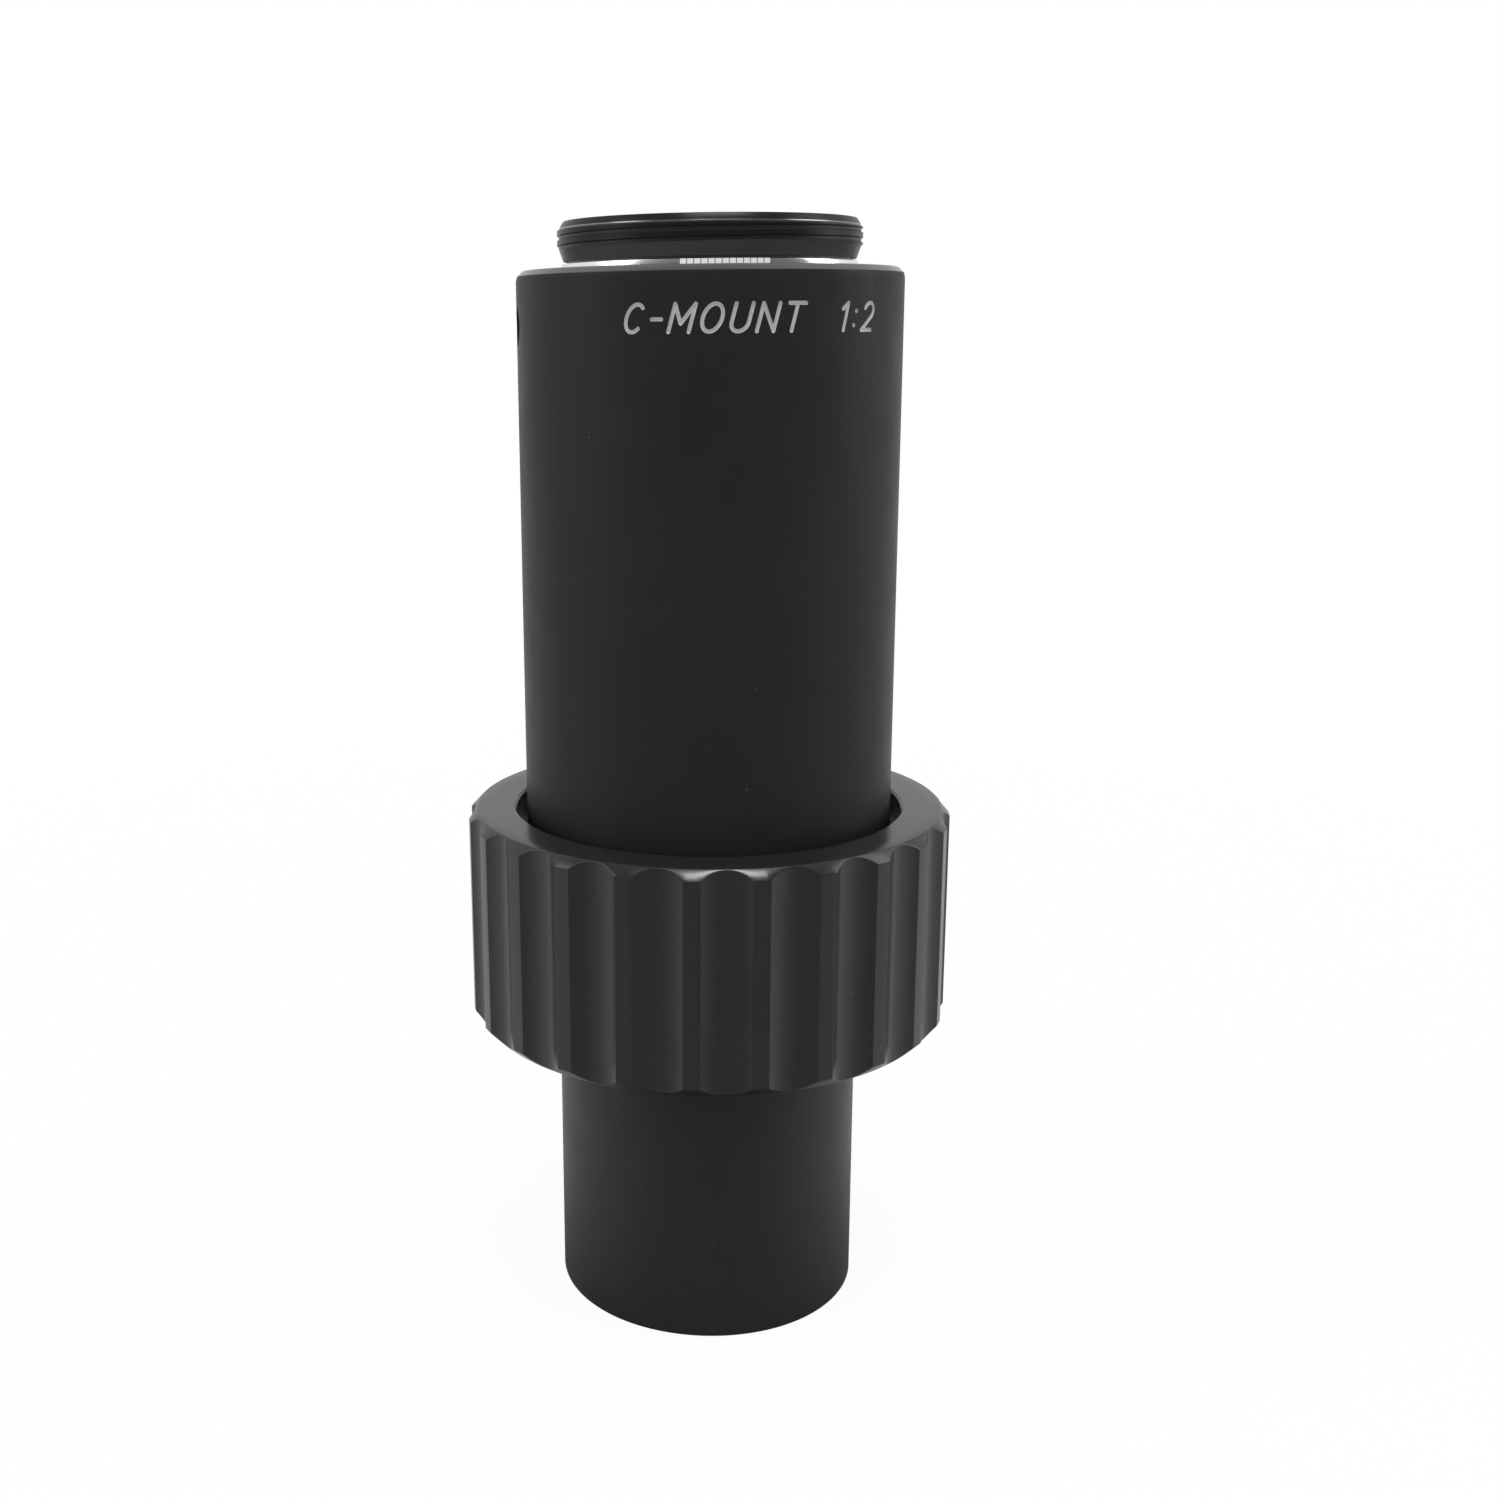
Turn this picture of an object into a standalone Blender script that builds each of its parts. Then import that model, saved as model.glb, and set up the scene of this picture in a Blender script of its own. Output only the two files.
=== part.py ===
"""Microscope camera adapter with a C-mount nose, a relay lens in two groups and a fluted coupling nut.

The adapter stands on its port tube, +Z up, with its optical axis on Z and the base of the tube at Z = 0.
The camera screws onto the nose at the top. The port tube drops into the microscope's photo port, and the
coupling nut draws the flange of the tube down onto it.
"""

import math

import bmesh
import bpy
from mathutils import Matrix, Vector

MM = 0.001

# Clearances
FIT_GAP = 0.10 * MM
SEAT_GAP = 0.05 * MM
CEMENT_GAP = 0.05 * MM

# Lens elements: radius, edge thicknesses and the radii of their surfaces
LENS_RADIUS = 11.3 * MM
LENS_LEDGE = 1.1 * MM
FRONT_ENTRY_CURVE = 40.0 * MM
FRONT_CEMENT_CURVE = 22.0 * MM
FRONT_EXIT_CURVE = 60.0 * MM
FRONT_CROWN_EDGE = 1.8 * MM
FRONT_FLINT_EDGE = 4.3 * MM
FIELD_LENS_CURVE = 45.0 * MM
FIELD_LENS_EDGE = 2.6 * MM
FRONT_SPACER_HEIGHT = 4.0 * MM
REAR_ENTRY_CURVE = 70.0 * MM
REAR_CEMENT_CURVE = 24.0 * MM
REAR_EXIT_CURVE = 38.0 * MM
REAR_FLINT_EDGE = 4.2 * MM
REAR_CROWN_EDGE = 1.8 * MM
CAMERA_LENS_CURVE = 50.0 * MM
CAMERA_LENS_EDGE = 2.4 * MM
REAR_SPACER_HEIGHT = 2.5 * MM

# Retaining rings, with two spanner slots each, and spacers
RING_WIDTH = 1.4 * MM
RING_HEIGHT = 2.2 * MM
SPACER_WIDTH = 1.3 * MM
SLOT_WIDTH = 1.2 * MM
SLOT_DEPTH = 0.9 * MM
EDGE_BREAK = 0.2 * MM

# Port tube
TUBE_WALL = 2.15 * MM
TUBE_LENGTH = 39.5 * MM
TUBE_FOOT_CHAMFER = 0.2 * MM
FRONT_RECESS = 5.5 * MM
FLANGE_THICKNESS = 2.5 * MM
FLANGE_CHAMFER = 0.3 * MM
SPIGOT_STEP = 0.55 * MM
SPIGOT_LENGTH = 7.7 * MM
SPIGOT_WALL = 2.1 * MM
STOP_FLOOR_RISE = 2.0 * MM

# Aperture stop
STOP_THICKNESS = 0.6 * MM
STOP_OPENING_RADIUS = 7.5 * MM

# Barrel
SOCKET_WALL = 2.0 * MM
SOCKET_RELIEF = 0.3 * MM
BARREL_LENGTH = 49.55 * MM
BARREL_TOP_CHAMFER = 0.55 * MM
BARREL_FOOT_CHAMFER = 0.3 * MM
CELL_SEAT_DEPTH = 13.0 * MM
SHANK_LEDGE = 0.9 * MM

# Rear lens cell and the ring that locks it
CELL_WALL = 1.9 * MM
CELL_LIP = 1.5 * MM
CELL_RIM = 0.6 * MM
LOCK_RING_WIDTH = 2.2 * MM
LOCK_RING_HEIGHT = 3.0 * MM

# Slip washer and coupling nut
NUT_BORE_GAP = 0.92 * MM
FLANGE_OVERLAP = 1.28 * MM
FLANGE_PLAY = 0.5 * MM
NUT_WALL = 2.55 * MM
NUT_HEIGHT = 19.25 * MM
NUT_LIP = 3.0 * MM
NUT_TOP_CHAMFER = 0.8 * MM
NUT_FOOT_CHAMFER = 0.85 * MM
NUT_MOUTH_CHAMFER = 0.6 * MM
WASHER_THICKNESS = 0.5 * MM
WASHER_CLEARANCE = 0.3 * MM
FLUTE_COUNT = 24
FLUTE_DEPTH = 0.78 * MM
LAND_WIDTH = 1.42 * MM
FLUTE_TURN = math.radians(4.2)

# Nosepiece, made to the C-mount: 1 inch thread, 32 turns an inch
THREAD_RADIUS = 12.7 * MM
NECK_DEPTH = 0.5 * MM
NECK_STEP = 0.15 * MM
NECK_HEIGHT = 1.3 * MM
THREAD_LENGTH = 1.4 * MM
NOSE_BEVEL_WIDTH = 0.5 * MM
NOSE_BEVEL_HEIGHT = 0.65 * MM
NOSE_BORE_CHAMFER = 0.5 * MM
SHANK_STEP = 1.5 * MM
SHANK_LENGTH = 8.0 * MM
SHANK_WALL = 1.4 * MM
SHANK_RELIEF = 0.2 * MM
INDEX_RING_WIDTH = 1.05 * MM
INDEX_RING_THICKNESS = 0.75 * MM
RING_RECESS_DEPTH = 0.3 * MM
RING_RECESS_GAP = 0.15 * MM

# Set screw, and the groove that its point runs in
SCREW_DROP = 4.5 * MM
SCREW_TURN = math.radians(-80.0)
SCREW_RADIUS = 1.5 * MM
SCREW_SINK = 0.7 * MM
SCREW_TIP_RADIUS = 0.5 * MM
SOCKET_ACROSS_FLATS = 1.5 * MM
SOCKET_DEPTH = 1.6 * MM
GROOVE_DEPTH = 0.7 * MM

# Facets
BODY_SEGMENTS = 64
INNER_SEGMENTS = 36
ARC_STEPS = 3
FLUTE_STEPS = 7
SCREW_SEGMENTS = 20

# Radii that follow from the lens, the walls and the clearances
LENS_BORE = LENS_RADIUS + FIT_GAP
LIGHT_BORE = LENS_RADIUS - LENS_LEDGE
RING_HOLE = LENS_RADIUS - RING_WIDTH
SPACER_HOLE = LENS_RADIUS - SPACER_WIDTH
TUBE_RADIUS = LENS_BORE + TUBE_WALL
SPIGOT_RADIUS = TUBE_RADIUS + SPIGOT_STEP
STOP_POCKET_RADIUS = SPIGOT_RADIUS - SPIGOT_WALL
STOP_RADIUS = STOP_POCKET_RADIUS - FIT_GAP
SOCKET_RADIUS = SPIGOT_RADIUS + FIT_GAP
BARREL_RADIUS = SOCKET_RADIUS + SOCKET_WALL
CELL_RADIUS = LENS_BORE + CELL_WALL
CELL_BORE = CELL_RADIUS + FIT_GAP
NUT_BORE = BARREL_RADIUS + NUT_BORE_GAP
FLANGE_RADIUS = NUT_BORE + FLANGE_OVERLAP
NUT_RECESS = FLANGE_RADIUS + FLANGE_PLAY
NUT_RADIUS = NUT_RECESS + NUT_WALL
SHANK_RADIUS = THREAD_RADIUS - SHANK_STEP
SHANK_BORE = SHANK_RADIUS + FIT_GAP
NOSE_BORE = SHANK_RADIUS - SHANK_WALL
BARREL_LIGHT_BORE = SHANK_BORE - SHANK_LEDGE
RING_RECESS_RADIUS = THREAD_RADIUS + RING_RECESS_GAP

# Levels along the axis, from the base of the port tube
FLANGE_TOP = TUBE_LENGTH + FLANGE_THICKNESS
SPIGOT_TOP = FLANGE_TOP + SPIGOT_LENGTH
STOP_FLOOR = FLANGE_TOP + STOP_FLOOR_RISE
BARREL_FOOT = FLANGE_TOP + SEAT_GAP
SOCKET_TOP = SPIGOT_TOP + SOCKET_RELIEF
BARREL_TOP = BARREL_FOOT + BARREL_LENGTH
CELL_SEAT = BARREL_TOP - CELL_SEAT_DEPTH
WASHER_FOOT = FLANGE_TOP + SEAT_GAP
WASHER_TOP = WASHER_FOOT + WASHER_THICKNESS
NUT_LIP_FOOT = WASHER_TOP + SEAT_GAP
NUT_TOP = NUT_LIP_FOOT + NUT_LIP
NUT_FOOT = NUT_TOP - NUT_HEIGHT
RING_RECESS_FLOOR = BARREL_TOP - RING_RECESS_DEPTH
INDEX_RING_FOOT = RING_RECESS_FLOOR + SEAT_GAP
INDEX_RING_TOP = INDEX_RING_FOOT + INDEX_RING_THICKNESS
NECK_FOOT = INDEX_RING_TOP + SEAT_GAP
THREAD_FOOT = NECK_FOOT + NECK_HEIGHT
THREAD_TOP = THREAD_FOOT + THREAD_LENGTH
NOSE_TOP = THREAD_TOP + NOSE_BEVEL_HEIGHT
SHANK_FOOT = BARREL_TOP - SHANK_LENGTH
SCREW_LEVEL = BARREL_TOP - SCREW_DROP

# Ways a lens surface can bulge
UP = 1
DOWN = -1
FLAT = 0

PARTS = "microscope_camera_adapter"
CUTTERS = "cutters"


def clear_scene():
    for old in list(bpy.data.objects):
        bpy.data.objects.remove(old)


def new_collection(name):
    collection = bpy.data.collections.new(name)
    bpy.context.scene.collection.children.link(collection)
    return collection


def material(name, colour, roughness, metallic, transmission=0.0):
    made = bpy.data.materials.new(name)
    made.use_nodes = True
    shader = made.node_tree.nodes["Principled BSDF"]
    shader.inputs["Base Color"].default_value = (*colour, 1.0)
    shader.inputs["Roughness"].default_value = roughness
    shader.inputs["Metallic"].default_value = metallic
    shader.inputs["Transmission Weight"].default_value = transmission
    made.diffuse_color = (*colour, 1.0)
    return made


def add_object(name, mesh, collection):
    made = bpy.data.objects.new(name, mesh)
    bpy.data.collections[collection].objects.link(made)
    return made


def settle(obj):
    """Turns an object's modifiers into its mesh, and shades it smooth with sharp machined edges."""
    graph = bpy.context.evaluated_depsgraph_get()
    mesh = bpy.data.meshes.new_from_object(obj.evaluated_get(graph))
    obj.modifiers.clear()
    obj.data = mesh
    mesh.shade_smooth()
    mesh.set_sharp_from_angle(angle=math.radians(30))
    return obj


def turned(name, profile, segments, closed=True):
    """Turns a profile of (radius, height) points about Z. It runs down its outer side first."""
    mesh = bpy.data.meshes.new(name)
    points = [(radius, 0.0, height) for radius, height in profile]
    edges = [(i, i + 1) for i in range(len(points) - 1)]
    if closed:
        edges.append((len(points) - 1, 0))
    mesh.from_pydata(points, edges, [])
    made = add_object(name, mesh, PARTS)
    screw = made.modifiers.new("turning", "SCREW")
    screw.steps = segments
    screw.render_steps = segments
    screw.use_merge_vertices = True
    screw.merge_threshold = 1e-6
    return settle(made)


def extruded(name, outline, bottom, top):
    """A flat closed outline in X and Y, made solid between two levels, as a cutter."""
    curve = bpy.data.curves.new(name, "CURVE")
    curve.dimensions = "2D"
    curve.fill_mode = "BOTH"
    curve.extrude = (top - bottom) / 2
    spline = curve.splines.new("POLY")
    spline.points.add(len(outline) - 1)
    for point, (x, y) in zip(spline.points, outline):
        point.co = (x, y, 0.0, 1.0)
    spline.use_cyclic_u = True
    guide = add_object(name + "_outline", curve, CUTTERS)
    graph = bpy.context.evaluated_depsgraph_get()
    mesh = bpy.data.meshes.new_from_object(guide.evaluated_get(graph))
    bpy.data.objects.remove(guide)
    solid = bmesh.new()
    solid.from_mesh(mesh)
    bmesh.ops.remove_doubles(solid, verts=solid.verts, dist=1e-6)
    bmesh.ops.translate(solid, verts=solid.verts, vec=(0.0, 0.0, (top + bottom) / 2))
    solid.to_mesh(mesh)
    solid.free()
    return hide(add_object(name, mesh, CUTTERS))


def prism(name, sides, radius, length, place):
    """A closed prism of regular section along its own Z, put in its place by a matrix, as a cutter."""
    mesh = bpy.data.meshes.new(name)
    solid = bmesh.new()
    bmesh.ops.create_cone(solid, cap_ends=True, segments=sides, radius1=radius, radius2=radius, depth=length)
    solid.to_mesh(mesh)
    solid.free()
    made = add_object(name, mesh, CUTTERS)
    made.matrix_world = place
    return hide(made)


def block(name, size, centre):
    mesh = bpy.data.meshes.new(name)
    solid = bmesh.new()
    bmesh.ops.create_cube(solid, size=1.0, matrix=Matrix.LocRotScale(centre, None, size))
    solid.to_mesh(mesh)
    solid.free()
    return hide(add_object(name, mesh, CUTTERS))


def hide(cutter):
    cutter.hide_render = True
    cutter.display_type = "WIRE"
    return cutter


def combine(obj, other, operation):
    boolean = obj.modifiers.new(operation.lower(), "BOOLEAN")
    boolean.operation = operation
    boolean.solver = "EXACT"
    boolean.object = other
    bpy.context.view_layer.update()
    return settle(obj)


def bulge(curve, reach):
    """How far a spherical surface of this radius has fallen away at a distance from the axis."""
    return curve - math.sqrt(curve * curve - reach * reach)


def seat_rise(curve, reach):
    """How far a convex surface stands above its own edge where a ring of this inner radius meets it."""
    return bulge(curve, LENS_RADIUS) - bulge(curve, reach)


def surface(edge_level, curve, way):
    """Points of a lens surface from the axis to its edge. It bulges up (way 1) or down (way -1)."""
    if way == FLAT:
        return [(0.0, edge_level), (LENS_RADIUS, edge_level)]
    points = []
    for step in range(ARC_STEPS + 1):
        reach = LENS_RADIUS * step / ARC_STEPS
        points.append((reach, edge_level + way * seat_rise(curve, reach)))
    return points


def lens(name, glass, edge_foot, edge_top, lower, upper):
    """A lens turned from its lower and upper surface, each given as its radius and the way it bulges."""
    top_side = surface(edge_top, *upper)
    foot_side = surface(edge_foot, *lower)
    made = turned(name, top_side + foot_side[::-1], INNER_SEGMENTS, closed=False)
    made.data.materials.append(glass)
    return made


def plain_ring(name, finish, outer, inner, foot, top, segments):
    made = turned(name, [(outer, top), (outer, foot), (inner, foot), (inner, top)], segments)
    made.data.materials.append(finish)
    return made


def slotted_ring(name, finish, outer, inner, foot, top, slot_at_top):
    """A threaded ring with two opposite slots for a spanner, cut by one bar across the whole face."""
    made = plain_ring(name, finish, outer, inner, foot, top, INNER_SEGMENTS)
    face = top if slot_at_top else foot
    bar = block(name + "_slots", (2.5 * outer, SLOT_WIDTH, 2 * SLOT_DEPTH), (0.0, 0.0, face))
    return combine(made, bar, "DIFFERENCE")


def front_group(glass, finish):
    """Doublet, spacer and field lens in the port tube, stacked up from their ring. Returns the seat level."""
    ring_foot = FRONT_RECESS
    ring_top = ring_foot + RING_HEIGHT
    crown_foot = ring_top + SEAT_GAP + seat_rise(FRONT_ENTRY_CURVE, RING_HOLE)
    crown_top = crown_foot + FRONT_CROWN_EDGE
    flint_foot = crown_top + CEMENT_GAP
    flint_top = flint_foot + FRONT_FLINT_EDGE
    spacer_foot = flint_top + seat_rise(FRONT_EXIT_CURVE, SPACER_HOLE) + SEAT_GAP
    spacer_top = spacer_foot + FRONT_SPACER_HEIGHT
    field_foot = spacer_top + SEAT_GAP
    field_top = field_foot + FIELD_LENS_EDGE
    slotted_ring("front_retaining_ring", finish, LENS_RADIUS, RING_HOLE, ring_foot, ring_top, False)
    lens("front_crown_lens", glass, crown_foot, crown_top, (FRONT_ENTRY_CURVE, DOWN), (FRONT_CEMENT_CURVE, UP))
    lens("front_flint_lens", glass, flint_foot, flint_top, (FRONT_CEMENT_CURVE, UP), (FRONT_EXIT_CURVE, UP))
    plain_ring("front_spacer", finish, LENS_RADIUS, SPACER_HOLE, spacer_foot, spacer_top, INNER_SEGMENTS)
    lens("field_lens", glass, field_foot, field_top, (0.0, FLAT), (FIELD_LENS_CURVE, UP))
    return field_top + seat_rise(FIELD_LENS_CURVE, LIGHT_BORE) + SEAT_GAP


def rear_group(glass, finish):
    """Camera lens, spacer and doublet hung down from the lip of their cell. Returns the cell's foot level."""
    cell_top = CELL_SEAT - SEAT_GAP
    camera_top = cell_top - CELL_LIP - SEAT_GAP - seat_rise(CAMERA_LENS_CURVE, LIGHT_BORE)
    camera_foot = camera_top - CAMERA_LENS_EDGE
    spacer_top = camera_foot - SEAT_GAP
    spacer_foot = spacer_top - REAR_SPACER_HEIGHT
    crown_top = spacer_foot - SEAT_GAP - seat_rise(REAR_EXIT_CURVE, SPACER_HOLE)
    crown_foot = crown_top - REAR_CROWN_EDGE
    flint_top = crown_foot - CEMENT_GAP
    flint_foot = flint_top - REAR_FLINT_EDGE
    ring_top = flint_foot - seat_rise(REAR_ENTRY_CURVE, RING_HOLE) - SEAT_GAP
    ring_foot = ring_top - RING_HEIGHT
    lens("camera_side_lens", glass, camera_foot, camera_top, (0.0, FLAT), (CAMERA_LENS_CURVE, UP))
    plain_ring("rear_spacer", finish, LENS_RADIUS, SPACER_HOLE, spacer_foot, spacer_top, INNER_SEGMENTS)
    lens("rear_crown_lens", glass, crown_foot, crown_top, (REAR_CEMENT_CURVE, DOWN), (REAR_EXIT_CURVE, UP))
    lens("rear_flint_lens", glass, flint_foot, flint_top, (REAR_ENTRY_CURVE, DOWN), (REAR_CEMENT_CURVE, DOWN))
    slotted_ring("rear_retaining_ring", finish, LENS_RADIUS, RING_HOLE, ring_foot, ring_top, False)
    return ring_foot - CELL_RIM


def rear_cell(finish, foot):
    """The sleeve that holds the rear group, and the ring under it that locks it in the barrel."""
    top = CELL_SEAT - SEAT_GAP
    lip_foot = top - CELL_LIP
    profile = [(CELL_RADIUS - EDGE_BREAK, top), (CELL_RADIUS, top - EDGE_BREAK)]
    profile += [(CELL_RADIUS, foot + EDGE_BREAK), (CELL_RADIUS - EDGE_BREAK, foot)]
    profile += [(LENS_BORE, foot), (LENS_BORE, lip_foot), (LIGHT_BORE, lip_foot), (LIGHT_BORE, top)]
    cell = turned("rear_lens_cell", profile, INNER_SEGMENTS)
    cell.data.materials.append(finish)
    lock_top = foot - SEAT_GAP
    lock_hole = CELL_RADIUS - LOCK_RING_WIDTH
    slotted_ring("cell_lock_ring", finish, CELL_RADIUS, lock_hole, lock_top - LOCK_RING_HEIGHT, lock_top, False)


def port_tube(finish, seat):
    """The tube that enters the photo port, its clamping flange and the spigot that carries the barrel."""
    profile = [(SPIGOT_RADIUS - EDGE_BREAK, SPIGOT_TOP), (SPIGOT_RADIUS, SPIGOT_TOP - EDGE_BREAK)]
    profile += [(SPIGOT_RADIUS, FLANGE_TOP), (FLANGE_RADIUS - FLANGE_CHAMFER, FLANGE_TOP)]
    profile += [(FLANGE_RADIUS, FLANGE_TOP - FLANGE_CHAMFER), (FLANGE_RADIUS, TUBE_LENGTH + FLANGE_CHAMFER)]
    profile += [(FLANGE_RADIUS - FLANGE_CHAMFER, TUBE_LENGTH), (TUBE_RADIUS, TUBE_LENGTH)]
    profile += [(TUBE_RADIUS, TUBE_FOOT_CHAMFER), (TUBE_RADIUS - TUBE_FOOT_CHAMFER, 0.0)]
    profile += [(LENS_BORE + TUBE_FOOT_CHAMFER, 0.0), (LENS_BORE, TUBE_FOOT_CHAMFER), (LENS_BORE, seat)]
    profile += [(LIGHT_BORE, seat), (LIGHT_BORE, STOP_FLOOR), (STOP_POCKET_RADIUS, STOP_FLOOR)]
    profile += [(STOP_POCKET_RADIUS, SPIGOT_TOP)]
    tube = turned("port_tube", profile, BODY_SEGMENTS)
    tube.data.materials.append(finish)


def aperture_stop(finish):
    """A thin plate with a knife-edged opening, and the ring that holds it down in the spigot."""
    foot = STOP_FLOOR + SEAT_GAP
    top = foot + STOP_THICKNESS
    profile = [(STOP_RADIUS, top), (STOP_RADIUS, foot)]
    profile += [(STOP_OPENING_RADIUS + STOP_THICKNESS, foot), (STOP_OPENING_RADIUS, top - STOP_THICKNESS / 4)]
    profile += [(STOP_OPENING_RADIUS, top)]
    stop = turned("aperture_stop", profile, INNER_SEGMENTS)
    stop.data.materials.append(finish)
    ring_foot = top + SEAT_GAP
    ring_hole = STOP_RADIUS - RING_WIDTH
    slotted_ring("stop_retaining_ring", finish, STOP_RADIUS, ring_hole, ring_foot, ring_foot + RING_HEIGHT, True)


def screw_place(reach):
    """A frame on the set screw's axis at this distance from the optical axis, with its Z pointing outwards."""
    outwards = Vector((math.sin(SCREW_TURN), -math.cos(SCREW_TURN), 0.0))
    turn = outwards.to_track_quat("Z", "Y")
    return Matrix.LocRotScale(outwards * reach + Vector((0.0, 0.0, SCREW_LEVEL)), turn, None)


def main_barrel(finish):
    """The barrel: socket for the spigot, bore for the rear cell, light bore and bore for the nose's shank.

    Its top is the camera's seat, a flat ring round a shallow recess that takes the index ring.
    """
    shank_floor = SHANK_FOOT - SHANK_RELIEF
    profile = [(BARREL_RADIUS - BARREL_TOP_CHAMFER, BARREL_TOP), (BARREL_RADIUS, BARREL_TOP - BARREL_TOP_CHAMFER)]
    profile += [(BARREL_RADIUS, BARREL_FOOT + BARREL_FOOT_CHAMFER)]
    profile += [(BARREL_RADIUS - BARREL_FOOT_CHAMFER, BARREL_FOOT), (SOCKET_RADIUS, BARREL_FOOT)]
    profile += [(SOCKET_RADIUS, SOCKET_TOP), (CELL_BORE, SOCKET_TOP), (CELL_BORE, CELL_SEAT)]
    profile += [(BARREL_LIGHT_BORE, CELL_SEAT), (BARREL_LIGHT_BORE, shank_floor)]
    profile += [(SHANK_BORE, shank_floor), (SHANK_BORE, RING_RECESS_FLOOR)]
    profile += [(RING_RECESS_RADIUS, RING_RECESS_FLOOR), (RING_RECESS_RADIUS, BARREL_TOP)]
    barrel = turned("main_barrel", profile, BODY_SEGMENTS)
    barrel.data.materials.append(finish)
    wall = BARREL_RADIUS - SHANK_BORE
    place = screw_place(SHANK_BORE + wall / 2)
    drill = prism("screw_hole", SCREW_SEGMENTS, SCREW_RADIUS + FIT_GAP, 2 * wall, place)
    combine(barrel, drill, "DIFFERENCE")


def nosepiece(finish):
    """The threaded nose that takes the camera, with a shank that turns in the barrel on a vee groove."""
    neck_foot = THREAD_RADIUS - NECK_DEPTH
    neck_top = THREAD_RADIUS - NECK_STEP
    bevel = THREAD_RADIUS - NOSE_BEVEL_WIDTH
    groove = SHANK_RADIUS - GROOVE_DEPTH
    groove_floor = SCREW_TIP_RADIUS + FIT_GAP
    groove_mouth = groove_floor + GROOVE_DEPTH
    profile = [(bevel, NOSE_TOP), (THREAD_RADIUS, THREAD_TOP), (THREAD_RADIUS, THREAD_FOOT)]
    profile += [(neck_top, THREAD_FOOT - NECK_STEP), (neck_foot, NECK_FOOT), (SHANK_RADIUS, NECK_FOOT)]
    profile += [(SHANK_RADIUS, SCREW_LEVEL + groove_mouth), (groove, SCREW_LEVEL + groove_floor)]
    profile += [(groove, SCREW_LEVEL - groove_floor), (SHANK_RADIUS, SCREW_LEVEL - groove_mouth)]
    profile += [(SHANK_RADIUS, SHANK_FOOT + EDGE_BREAK), (SHANK_RADIUS - EDGE_BREAK, SHANK_FOOT)]
    profile += [(NOSE_BORE, SHANK_FOOT), (NOSE_BORE, NOSE_TOP - NOSE_BORE_CHAMFER)]
    profile += [(NOSE_BORE + NOSE_BORE_CHAMFER, NOSE_TOP)]
    nose = turned("nosepiece", profile, BODY_SEGMENTS)
    nose.data.materials.append(finish)


def index_ring(finish):
    """The bright ring between the neck of the nosepiece and the recess in the barrel's top."""
    outer = SHANK_BORE + INDEX_RING_WIDTH
    plain_ring("index_ring", finish, outer, SHANK_BORE, INDEX_RING_FOOT, INDEX_RING_TOP, BODY_SEGMENTS)


def set_screw(finish):
    """A headless screw with a hexagon socket. Its cut-off point stands just clear of the vee groove."""
    groove = SHANK_RADIUS - GROOVE_DEPTH
    outer_end = BARREL_RADIUS - SCREW_SINK
    length = outer_end - (groove + FIT_GAP)
    point = SCREW_RADIUS - SCREW_TIP_RADIUS
    profile = [(0.0, 0.0), (SCREW_RADIUS - EDGE_BREAK, 0.0), (SCREW_RADIUS, -EDGE_BREAK)]
    profile += [(SCREW_RADIUS, point - length), (SCREW_TIP_RADIUS, -length), (0.0, -length)]
    screw = turned("set_screw", profile, SCREW_SEGMENTS, closed=False)
    corner = SOCKET_ACROSS_FLATS / 2 / math.cos(math.pi / 6)
    key = prism("socket_of_set_screw", 6, corner, 2 * SOCKET_DEPTH, Matrix.Identity(4))
    combine(screw, key, "DIFFERENCE")
    screw.data.materials.append(finish)
    screw.matrix_world = screw_place(outer_end)


def slip_washer(finish):
    """The flat ring between the flange and the nut's lip, which lets the nut turn without dragging the tube."""
    inner = BARREL_RADIUS + WASHER_CLEARANCE
    plain_ring("slip_washer", finish, FLANGE_RADIUS, inner, WASHER_FOOT, WASHER_TOP, BODY_SEGMENTS)


def flute_outline():
    """The grip's outline seen from above: a hollow arc for each flute, and a point outside each land."""
    half_pitch = math.pi / FLUTE_COUNT
    half_flute = half_pitch - math.asin(LAND_WIDTH / 2 / NUT_RADIUS)
    half_chord = NUT_RADIUS * math.sin(half_flute)
    chord_depth = NUT_RADIUS * math.cos(half_flute) - (NUT_RADIUS - FLUTE_DEPTH)
    radius = (half_chord * half_chord + chord_depth * chord_depth) / (2 * chord_depth)
    centre = NUT_RADIUS - FLUTE_DEPTH + radius
    sweep = 1.08 * math.asin(half_chord / radius)
    outline = []
    for flute in range(FLUTE_COUNT):
        middle = FLUTE_TURN - math.pi / 2 + 2 * half_pitch * flute
        for step in range(FLUTE_STEPS + 1):
            swing = sweep * (2 * step / FLUTE_STEPS - 1)
            along = centre - radius * math.cos(swing)
            across = radius * math.sin(swing)
            x = along * math.cos(middle) - across * math.sin(middle)
            y = along * math.sin(middle) + across * math.cos(middle)
            outline.append((x, y))
        land = middle + half_pitch
        outside = NUT_RADIUS + FLUTE_DEPTH
        outline.append((outside * math.cos(land), outside * math.sin(land)))
    return outline


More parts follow.
